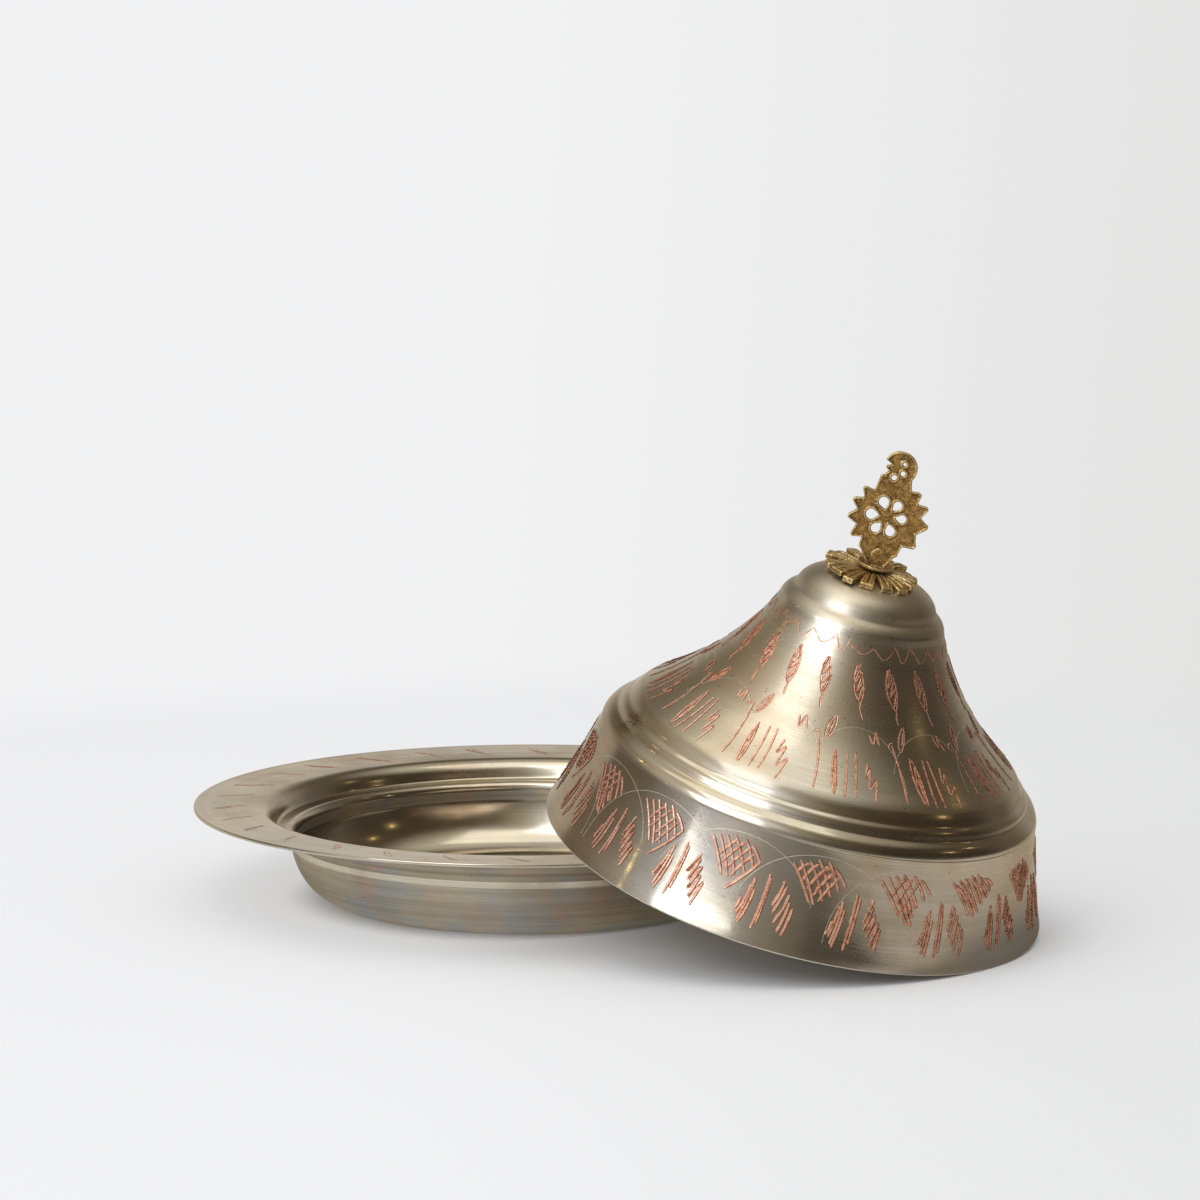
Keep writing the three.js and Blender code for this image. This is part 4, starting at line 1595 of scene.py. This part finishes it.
@dataclass
class Finial:
    """Pierced sun wheel with a crescent, riveted to a foot on the rosette.

    Angles on the wheel are degrees from its right side. A piercing has an angle and a radius, a hole
    beside the crescent has its distance from the crescent's middle, an angle and a radius, and the
    star's points are counted from that middle.
    """

    place: LidPlace
    bearing: float = math.radians(-92)
    foot_bottom: float = 107.7 * MM
    foot_thickness: float = 1 * MM
    foot_radius: float = 6.3 * MM
    foot_flat: float = 4.4 * MM
    foot_dish: float = 1.2 * MM
    gap: float = 0.3 * MM
    shank_radius: float = 2.2 * MM
    shank_end: float = 102.8 * MM
    riveted_radius: float = 3.6 * MM
    riveted_height: float = 1.2 * MM
    tab_half_width: float = 2.3 * MM
    tab_thickness: float = 1.6 * MM
    tab_top: float = 2.6 * MM
    plate_thickness: float = 2 * MM
    plate_bevel: float = 0.35 * MM
    bead_radius: float = 0.5 * MM
    bead_sinking: float = 0.075 * MM
    bead_stretch: tuple[float, float] = (0.98, 0.995)
    stem_length: float = 17.3 * MM
    stem_half_width: float = 2.5 * MM
    wheel_tip: float = 13.4 * MM
    wheel_root: float = 10.6 * MM
    left_teeth: tuple[float, ...] = (141, 164, 190, 218, 240)
    right_teeth: tuple[float, ...] = (-66, -35, 0, 28, 52)
    piercings: tuple[tuple[float, float], ...] = (
        (4, 1.9 * MM), (58, 1.95 * MM), (114, 2.15 * MM), (183, 2.25 * MM), (241, 2.05 * MM), (298, 2.1 * MM),
    )
    piercing_ring: float = 5.3 * MM
    piercing_point: float = 0.95 * MM
    piercing_sweep: float = math.radians(126)
    piercing_set: tuple[float, float] = (-0.8 * MM, 0.4 * MM)
    piercing_steps: int = 18
    neck_half_width: float = 4.9 * MM
    neck_corner: tuple[float, float] = (-6 * MM, 14 * MM)
    crescent_radius: float = 5.4 * MM
    crescent_middle: tuple[float, float] = (-0.6 * MM, 17.7 * MM)
    crescent_arc: tuple[float, float] = (-34, 158)
    crescent_steps: int = 28
    star_points: tuple[tuple[float, float], ...] = (
        (-2.4 * MM, 0.65 * MM), (-4.7 * MM, -0.65 * MM), (-2.9 * MM, -1.69 * MM), (-4.2 * MM, -2.99 * MM),
    )
    star_foot: float = -3.8 * MM
    star_holes: tuple[tuple[float, float, float], ...] = (
        (2.05 * MM, 56, 1.1 * MM), (2.1 * MM, -50, 1.3 * MM), (3.8 * MM, -108, 1.35 * MM),
    )
    star_hole_facets: int = 16
    rivet_radius: float = 1.1 * MM
    rivet_head: float = 2.7 * MM
    rivet_head_height: float = 0.5 * MM
    back_head_shares: tuple[float, float] = (0.7, 0.76)
    rivet_height: float = 4 * MM
    tooth_half_angle: float = 1.6
    foot_facets: int = 64
    tab_steps: int = 16
    rivet_facets: int = 32
    dome_steps: int = 8
    plate_casting: Casting = Casting(0.17 * MM, 2)
    foot_casting: Casting = Casting(0.2 * MM, 1)
    rivet_casting: Casting = Casting(0.16 * MM, 2)

    @property
    def foot_top(self) -> float:
        """Height of the foot's upper face."""
        return self.foot_bottom + self.foot_thickness

    @property
    def wheel_height(self) -> float:
        """Height of the wheel's centre."""
        return self.foot_top + self.gap + self.stem_length

    @property
    def rivet_level(self) -> float:
        """Height of the rivet."""
        return self.foot_top + self.gap + self.rivet_height

    def build(self, finishes: Finishes) -> None:
        """Makes the foot, the plate and the rivet."""
        matrix = self.place.turned(self.bearing)
        settle(self._foot(), finishes.brass, Body.LID, Slot.BRASS, matrix, ["finial_foot"])
        settle(self._plate(), finishes.brass, Body.LID, Slot.BRASS, matrix, ["finial_plate"])
        settle(self._rivet(), finishes.brass, Body.LID, Slot.BRASS, matrix, ["finial_rivet"])

    @staticmethod
    def _on_wheel(radius: float, degrees: float) -> Vector:
        """Point in the plate at a radius and an angle."""
        angle = math.radians(degrees)
        return Vector((radius * math.cos(angle), radius * math.sin(angle)))

    def _toothed(self, teeth: Sequence[float]) -> list[Vector]:
        """Blunt tooth tips with a valley between each two."""
        run: list[Vector] = []
        for index, angle in enumerate(teeth):
            if index:
                run.append(self._on_wheel(self.wheel_root, (angle + teeth[index - 1]) / 2))
            for side in (-self.tooth_half_angle, self.tooth_half_angle):
                run.append(self._on_wheel(self.wheel_tip, angle + side))
        return run

    def _outline(self) -> list[Vector]:
        """Outline of the plate, anticlockwise from the stem's right foot."""
        middle = Vector(self.crescent_middle)
        start, end = (math.radians(a) for a in self.crescent_arc)
        shoulder = (3 * self.left_teeth[0] - self.left_teeth[1]) / 2
        return [
            Vector((self.stem_half_width, -self.stem_length)),
            *self._toothed(self.right_teeth),
            Vector((self.neck_half_width, self.wheel_root)),
            *circle_points(middle, self.crescent_radius, start, end, self.crescent_steps),
            *(middle + Vector(point) for point in self.star_points),
            Vector((middle.x + self.star_foot, self.neck_corner[1])),
            Vector(self.neck_corner),
            self._on_wheel(self.wheel_root, shoulder),
            *self._toothed(self.left_teeth),
            Vector((-self.stem_half_width, -self.stem_length)),
        ]

    def _holes(self) -> list[list[Vector]]:
        """The wheel's drop-shaped piercings and the round holes beside the crescent."""
        holes = []
        centre, sweep = Vector(self.piercing_set), self.piercing_sweep
        for degrees, radius in self.piercings:
            angle = math.radians(degrees)
            middle = centre + self._on_wheel(self.piercing_ring, degrees)
            point = centre + self._on_wheel(self.piercing_ring - radius - self.piercing_point, degrees)
            drop = circle_points(middle, radius, angle - sweep, angle + sweep, self.piercing_steps)
            holes.append([point, *drop])
        for ring, degrees, radius in self.star_holes:
            middle = Vector(self.crescent_middle) + self._on_wheel(ring, degrees)
            holes.append(circle_points(middle, radius, 0, FULL_TURN, self.star_hole_facets)[:-1])
        return holes

    def _drawn(self, name: str, stretch: Sequence[float], level: float, **settings: Any) -> bpy.types.Mesh:
        """Mesh of a curve along the plate's outline and round its holes.

        Args:
            name: Name of the curve.
            stretch: Shares of the width and the height that the curve gets.
            level: Height of the curve over the middle of the plate.
            **settings: The curve's own settings.

        Returns:
            The mesh.
        """
        curve = bpy.data.curves.new(name, "CURVE")
        for setting, value in settings.items():
            setattr(curve, setting, value)
        for loop in [self._outline(), *self._holes()]:
            spline = curve.splines.new("POLY")
            spline.points.add(len(loop) - 1)
            for point, place in zip(spline.points, loop):
                point.co = (place.x * stretch[0], place.y * stretch[1], level, 1)
            spline.use_cyclic_u = True
        drawn = placed_object(name, curve)
        shown = drawn.evaluated_get(bpy.context.evaluated_depsgraph_get())
        mesh = bpy.data.meshes.new_from_object(shown)
        bpy.data.objects.remove(drawn)
        return mesh

    def _plate(self) -> bpy.types.Object:
        """The pierced plate with a raised bead along its edge and round its holes, as the mould left it."""
        form = Form()
        form.add_mesh(self._drawn(
            "finial_wheel_outline", (1, 1), 0, dimensions="2D", fill_mode="BOTH",
            extrude=self.plate_thickness / 2 - self.plate_bevel,
            bevel_depth=self.plate_bevel, bevel_resolution=3, offset=-self.plate_bevel))
        form.add_mesh(self._drawn(
            "finial_wheel_beads", self.bead_stretch, self.plate_thickness / 2 - self.bead_sinking,
            dimensions="3D", bevel_depth=self.bead_radius, bevel_resolution=2))
        plate = form.build("finial_wheel_plate")
        middle = (self.gap - self.plate_thickness) / 2
        plate.data.transform(Matrix.Translation((0, middle, self.wheel_height)) @ UPRIGHT)
        return self.plate_casting.pour(plate)

    def _foot(self) -> bpy.types.Object:
        """The dished disc with its upright tab and the shank through the crown."""
        riveted = self.shank_end - self.riveted_height
        outline = [Vector(point) for point in (
            (0, riveted),
            (self.riveted_radius, riveted),
            (self.riveted_radius, self.shank_end),
            (self.shank_radius, self.shank_end),
            (self.shank_radius, self.foot_bottom),
            (self.foot_flat, self.foot_bottom),
            (self.foot_radius, self.foot_bottom + self.foot_dish),
            (self.foot_radius, self.foot_top + self.foot_dish),
            (self.foot_flat, self.foot_top),
            (0, self.foot_top),
        )]
        form = Form()
        form.add_turned(outline, self.foot_facets)
        half, low = self.tab_half_width, self.foot_bottom + self.foot_thickness / 2
        top = Vector((0, self.rivet_level + self.tab_top - half))
        arc = circle_points(top, half, 0, math.pi, self.tab_steps)
        loop = [Vector((-half, low)), Vector((half, low)), *arc]
        depths = (1.5 * self.gap, 1.5 * self.gap + self.tab_thickness)
        form.add_bar([[Vector((point.x, depth, point.y)) for point in loop] for depth in depths])
        return self.foot_casting.pour(form.build("finial_foot_casting"))

    def _rivet(self) -> bpy.types.Object:
        """The rivet, with a hammered head at the front and a small one behind the tab."""
        front = self.plate_thickness + self.gap / 2
        back = -self.tab_thickness - 2.5 * self.gap
        dome = circle_points(Vector((0, 0)), 1.0, 0, math.pi / 2, self.dome_steps)[:-1]
        outline = [Vector(point) for point in (
            (0, back - self.rivet_head_height),
            (self.rivet_head * self.back_head_shares[0], back - self.rivet_head_height),
            (self.rivet_head * self.back_head_shares[1], back),
            (self.rivet_radius, back),
            (self.rivet_radius, front),
            *((p.x ** 0.5 * self.rivet_head, front + p.y * self.rivet_head_height) for p in dome),
            (0, front + self.rivet_head_height),
        )]
        form = Form()
        form.add_turned(outline, self.rivet_facets)
        rivet = form.build("finial_rivet_head")
        rivet.data.transform(Matrix.Translation((0, 0, self.rivet_level)) @ UPRIGHT)
        return self.rivet_casting.pour(rivet)


# Studio


@dataclass(frozen=True)
class Lamp:
    """A soft rectangular lamp aimed at the object."""

    name: str
    azimuth: float
    elevation: float
    distance: float
    width: float
    height: float
    power: float
    colour: tuple[float, float, float] = (1, 1, 1)

    def build(self, target: Vector) -> None:
        """Hangs the lamp.

        Args:
            target: The point that it faces.
        """
        light = bpy.data.lights.new(self.name, "AREA")
        light.shape = "RECTANGLE"
        light.size = self.width
        light.size_y = self.height
        light.energy = self.power
        light.color = self.colour
        lamp = placed_object(self.name, light)
        turn, rise = math.radians(self.azimuth), math.radians(self.elevation)
        away = Vector((math.sin(turn) * math.cos(rise), -math.cos(turn) * math.cos(rise), math.sin(rise)))
        lamp.location = target + away * self.distance
        lamp.rotation_euler = away.to_track_quat("Z", "Y").to_euler()


@dataclass(frozen=True)
class Room:
    """What stands around the table: a pale sweep behind it and a dim room elsewhere.

    Azimuths are degrees to the right of the side that the photograph was taken from.
    """

    low_tones: Tones = (
        (-180, (0.84, 0.80, 0.75)), (-165, (0.68, 0.64, 0.58)), (-150, (0.56, 0.50, 0.43)),
        (-138, (0.60, 0.52, 0.43)), (-130, (0.50, 0.43, 0.34)), (-123, (0.18, 0.14, 0.10)),
        (-105, (0.15, 0.115, 0.08)), (-92, (0.145, 0.12, 0.095)), (-80, (0.25, 0.235, 0.21)),
        (-66, (0.46, 0.46, 0.47)), (-40, (0.62, 0.62, 0.64)), (-28, (0.52, 0.51, 0.50)),
        (-20, (0.38, 0.36, 0.34)), (-8, (0.28, 0.26, 0.23)), (3, (0.20, 0.18, 0.145)),
        (14, (0.11, 0.09, 0.065)), (45, (0.045, 0.032, 0.02)), (95, (0.05, 0.036, 0.022)),
        (122, (0.15, 0.12, 0.09)), (150, (0.46, 0.42, 0.37)), (180, (0.84, 0.80, 0.75)),
    )
    high_tones: Tones = (
        (-180, (0.13, 0.105, 0.065)), (-150, (0.19, 0.155, 0.10)), (-122, (0.30, 0.24, 0.16)),
        (-105, (0.36, 0.29, 0.20)), (-92, (0.52, 0.44, 0.35)), (-78, (0.62, 0.56, 0.47)),
        (-62, (0.86, 0.82, 0.75)), (-38, (0.90, 0.86, 0.80)), (-14, (1.0, 0.96, 0.86)),
        (6, (0.38, 0.32, 0.22)), (22, (0.16, 0.125, 0.07)), (42, (0.085, 0.06, 0.03)),
        (63, (0.06, 0.042, 0.02)), (100, (0.075, 0.053, 0.03)), (125, (0.12, 0.09, 0.055)),
        (150, (0.12, 0.09, 0.055)), (180, (0.13, 0.105, 0.065)),
    )
    rise: tuple[float, float] = (0.2, 0.6)
    ceiling: Colour = (0.62, 0.56, 0.44, 1)
    ceiling_start: float = 0.66
    ceiling_full: float = 0.96
    wash: Colour = (0.72, 0.73, 0.75, 1)
    sweep_left: Colour = (0.895, 0.895, 0.905, 1)
    sweep_right: Colour = (0.77, 0.77, 0.765, 1)
    sweep_even: float = 0.35
    turning: tuple[float, float] = (-0.06, 0.2)
    telling: tuple[float, float] = (0.35, 0.95)
    facing: tuple[float, float] = (-0.3, 0.4)
    viewpoint: float = 1.4

    def around(self, graph: Graph, vector: Any) -> bpy.types.NodeSocket:
        """Colour of the room in a direction."""
        x, y, z = graph.node("ShaderNodeSeparateXYZ", {0: vector}).outputs
        turn = graph.math("DIVIDE", graph.math("ARCTAN2", x, graph.math("MULTIPLY", y, -1)), FULL_TURN)
        place = graph.math("ADD", turn, 0.5)
        low, high = (self._ring(graph, place, tones) for tones in (self.low_tones, self.high_tones))
        walls = graph.blend(graph.ramp(z, *self.rise), low, high)
        return graph.blend(graph.ramp(z, self.ceiling_start, self.ceiling_full), walls, self.ceiling)

    @staticmethod
    def _ring(graph: Graph, place: Any, tones: Tones) -> bpy.types.NodeSocket:
        """Tones that follow one another round the room."""
        walls = graph.node("ShaderNodeValToRGB", {0: place})
        ramp = walls.color_ramp
        ramp.interpolation = "EASE"
        while len(ramp.elements) < len(tones):
            ramp.elements.new(0.5)
        for element, (azimuth, tone) in zip(ramp.elements, tones):
            element.position = azimuth / 360 + 0.5
            element.color = (*tone, 1)
        return walls.outputs[0]

    def sweep(self, graph: Graph, vector: Any) -> bpy.types.NodeSocket:
        """Colour of the pale sweep along a vector.

        It is paler on the left. It evens out behind, and where a short vector tells no direction.
        """
        direction = graph.node("ShaderNodeVectorMath", {0: vector}, operation="NORMALIZE").outputs[0]
        length = graph.reach(vector, (0, 0, 0))
        aside, ahead = graph.node("ShaderNodeSeparateXYZ", {0: direction}).outputs[:2]
        told = graph.math("MULTIPLY", graph.ramp(length, *self.telling), graph.ramp(ahead, *self.facing))
        change = graph.math("SUBTRACT", graph.ramp(aside, *self.turning), self.sweep_even)
        share = graph.math("ADD", graph.math("MULTIPLY", change, told), self.sweep_even)
        return graph.blend(share, self.sweep_left, self.sweep_right)


@dataclass(frozen=True)
class Studio:
    """Pale floor, pale sweep, dim room and soft lamps."""

    room: Room = Room()
    target: Vector = field(default_factory=lambda: Vector((0.03, -0.01, 0.05)))
    floor_rings: tuple[float, ...] = (40, 16, 8, 4, 2, 1, 0.5, 0.2, 0.05, 0)
    floor_facets: int = 96
    sweep_range: tuple[float, float] = (0.26, 0.62)
    # Painted fill light: how strongly, and from what distances from the dish's and the lid's feet, the floor
    # glows evenly to lift its shadows.
    painted_fill_light: float = 0.53
    painted_fill_range: tuple[float, float] = (0.069, 0.09)
    painted_fill_range_lid: tuple[float, float] = (0.055, 0.17)
    lid_foot: tuple[float, float, float] = (0.125, -0.085, 0)
    floor_colour: Colour = (0.86, 0.86, 0.87, 1)
    # Colours that the floor glows with in the metal's reflections: painted light, paler on the left, with
    # painted shadow near the dish's foot and the lid's foot.
    mirrored_left: Colour = (0.70, 0.67, 0.60, 1)
    mirrored_right: Colour = (0.60, 0.53, 0.43, 1)
    mirrored_foot_shade: Colour = (0.48, 0.47, 0.44, 1)
    foot_shade_range: tuple[float, float] = (0.085, 0.17)
    mirrored_shade: Colour = (0.17, 0.145, 0.11, 1)
    shaded_range: tuple[float, float] = (0.07, 0.14)
    mirrored_change: tuple[float, float] = (0.04, 0.16)
    mirrored_fade: tuple[float, float] = (0.42, 0.95)
    mirror_range: tuple[float, float] = (0.08, 0.3)
    mirror_share: float = 0.75
    lamps: tuple[Lamp, ...] = (
        Lamp("softbox_key", -36, 28.5, 1.9, 1.22, 1.0, 8.1, (0.95, 0.98, 1.0)),
        Lamp("softbox_high", -28, 60, 1.9, 0.8, 0.8, 2.4, (0.97, 0.99, 1.0)),
        Lamp("softbox_top", 4, 82, 1.7, 1.4, 1.2, 4.0, (1.0, 0.94, 0.79)),
        Lamp("bulb_left", -102, 38, 2.5, 0.07, 0.07, 0.15, (1.0, 0.72, 0.3)),
        Lamp("bulb_low_left", -75, 21, 2.6, 0.05, 0.05, 0.04, (1.0, 0.72, 0.3)),
        Lamp("bulb_right", 82, 26, 2.6, 0.05, 0.05, 0.15, (1.0, 0.72, 0.3)),
        Lamp("bulb_far_right", 104, 33, 2.6, 0.05, 0.05, 0.1, (1.0, 0.72, 0.3)),
    )

    def build(self) -> None:
        """Lays the floor, paints the world and hangs the lamps."""
        self._floor()
        self._world()
        for lamp in self.lamps:
            lamp.build(self.target)

    def _floor(self) -> None:
        """A wide disc that keeps the shadows and fades into the sweep away from the object."""
        material, graph, shader = empty_material("pale_floor", None)
        graph.feed(shader, {"Base Color": self.floor_colour, "Roughness": 0.9, "Specular IOR Level": 0.1})
        position = graph.node("ShaderNodeNewGeometry").outputs["Position"]
        seen = graph.node("ShaderNodeLightPath").outputs
        view = {0: position, 1: (0, self.room.viewpoint, 0)}
        ahead = graph.node("ShaderNodeVectorMath", view, operation="ADD")
        swept, mirrored = (
            graph.node("ShaderNodeEmission", {"Color": colour, "Strength": 1}).outputs[0]
            for colour in (self.room.sweep(graph, ahead.outputs[0]), self._mirrored(graph, position))
        )
        lit = graph.node("ShaderNodeMixShader", {0: seen["Is Camera Ray"], 1: mirrored, 2: swept}).outputs[0]
        share = self._lit_share(graph, position, seen)
        mixed = graph.node("ShaderNodeMixShader", {0: share, 1: shader.outputs[0], 2: lit})
        output = next(node for node in graph.tree.nodes if node.type == "OUTPUT_MATERIAL")
        graph.feed(output, {"Surface": mixed.outputs[0]})
        form = Form()
        form.add_turned([Vector((radius, 0)) for radius in self.floor_rings], self.floor_facets)
        floor = form.build("floor")
        floor.data.materials.append(material)

    def _mirrored(self, graph: Graph, position: Any) -> bpy.types.NodeSocket:
        """Colour that the floor glows with in the metal: painted light near the object, paler on the left,
        with painted shadow by the dish's and the lid's feet, and the room's colour farther out.
        """
        aside = graph.node("ShaderNodeSeparateXYZ", {0: position}).outputs[0]
        outwards, beside, away = self._distances(graph, position)
        change = graph.ramp(aside, *self.mirrored_change)
        nearby = graph.blend(change, self.mirrored_left, self.mirrored_right)
        # Painted shadow in the reflected floor near the dish's foot, then near the lid's foot.
        foot_shaded = graph.blend(graph.ramp(outwards, *self.foot_shade_range), self.mirrored_foot_shade, nearby)
        shaded = graph.blend(graph.ramp(beside, *self.shaded_range), self.mirrored_shade, foot_shaded)
        return graph.blend(graph.ramp(away, *self.mirrored_fade), shaded, self.room.around(graph, position))

    def _lit_share(self, graph: Graph, position: Any, seen: Any) -> bpy.types.NodeSocket:
        """Share of the floor's look that is even light and takes no shadow."""
        outwards, beside, away = self._distances(graph, position)
        # Painted fill light: away from the feet the floor partly glows evenly, which lifts the object's
        # shadows; farther out it fades into the sweep.
        past_dish = graph.ramp(outwards, *self.painted_fill_range)
        past_lid = graph.ramp(beside, *self.painted_fill_range_lid)
        painted_fill_light = graph.math("MULTIPLY", graph.math("MINIMUM", past_dish, past_lid), self.painted_fill_light)
        fill_or_sweep = graph.math("MAXIMUM", painted_fill_light, graph.ramp(away, *self.sweep_range))
        mirroring = graph.math("MAXIMUM", seen["Is Glossy Ray"], seen["Is Transmission Ray"])
        evened = graph.ramp(away, *self.mirror_range, self.mirror_share, 1)
        return graph.math(
            "MAXIMUM",
            graph.math("MULTIPLY", fill_or_sweep, seen["Is Camera Ray"]),
            graph.math("MULTIPLY", evened, mirroring),
        )

    def _distances(self, graph: Graph, position: Any) -> list[bpy.types.NodeSocket]:
        """Distances from the dish's middle, the lid's foot and the middle of the object."""
        return [graph.reach(position, place) for place in ((0, 0, 0), self.lid_foot, self.target)]

    def _world(self) -> None:
        """The sweep to the camera, the room to the metal and an even wash to everything else."""
        world = bpy.data.worlds.new("studio")
        bpy.context.scene.world = world
        world.use_nodes = True
        world.node_tree.nodes.clear()
        graph = Graph(world.node_tree)
        vector = graph.node("ShaderNodeTexCoord").outputs["Generated"]
        seen = graph.node("ShaderNodeLightPath").outputs
        mirrored = graph.math("MAXIMUM", seen["Is Glossy Ray"], seen["Is Transmission Ray"])
        lit = graph.blend(mirrored, self.room.wash, self.room.around(graph, vector))
        colour = graph.blend(seen["Is Camera Ray"], lit, self.room.sweep(graph, vector))
        back = graph.node("ShaderNodeBackground", {"Color": colour, "Strength": 1})
        graph.node("ShaderNodeOutputWorld", {"Surface": back.outputs[0]})


@dataclass(frozen=True)
class PhotoCamera:
    """Camera at the photograph's place and angle."""

    place: tuple[float, float, float] = (25.31 * MM, -1415.3 * MM, 291.41 * MM)
    downward: float = 0.13003
    focal_pixels: float = 4000
    photo_pixels: float = 1200
    sensor_mm: float = 36

    def build(self) -> None:
        """Makes the camera and gives it to the scene."""
        data = bpy.data.cameras.new("photo_camera")
        data.sensor_width = self.sensor_mm
        data.lens = self.focal_pixels * self.sensor_mm / self.photo_pixels
        data.clip_start = 0.01
        data.clip_end = 200
        camera = placed_object("photo_camera", data)
        camera.location = self.place
        camera.rotation_euler = (math.pi / 2 - self.downward, 0, 0)
        bpy.context.scene.camera = camera


def main() -> None:
    """Builds the object and its studio in order."""
    logging.basicConfig(level=logging.INFO, format="%(name)s: %(message)s", stream=sys.stdout)
    bpy.context.scene.view_settings.view_transform = "Standard"
    PhotoCamera().build()
    lid = Lid(LidPlace.from_model())
    finishes = Finishes.build(lid.sore)
    place = lid.place
    Dish().build(finishes)
    lid.build(finishes)
    Rosette(place).build(finishes)
    Finial(place).build(finishes)
    Studio().build()


if __name__ == "__main__":
    main()
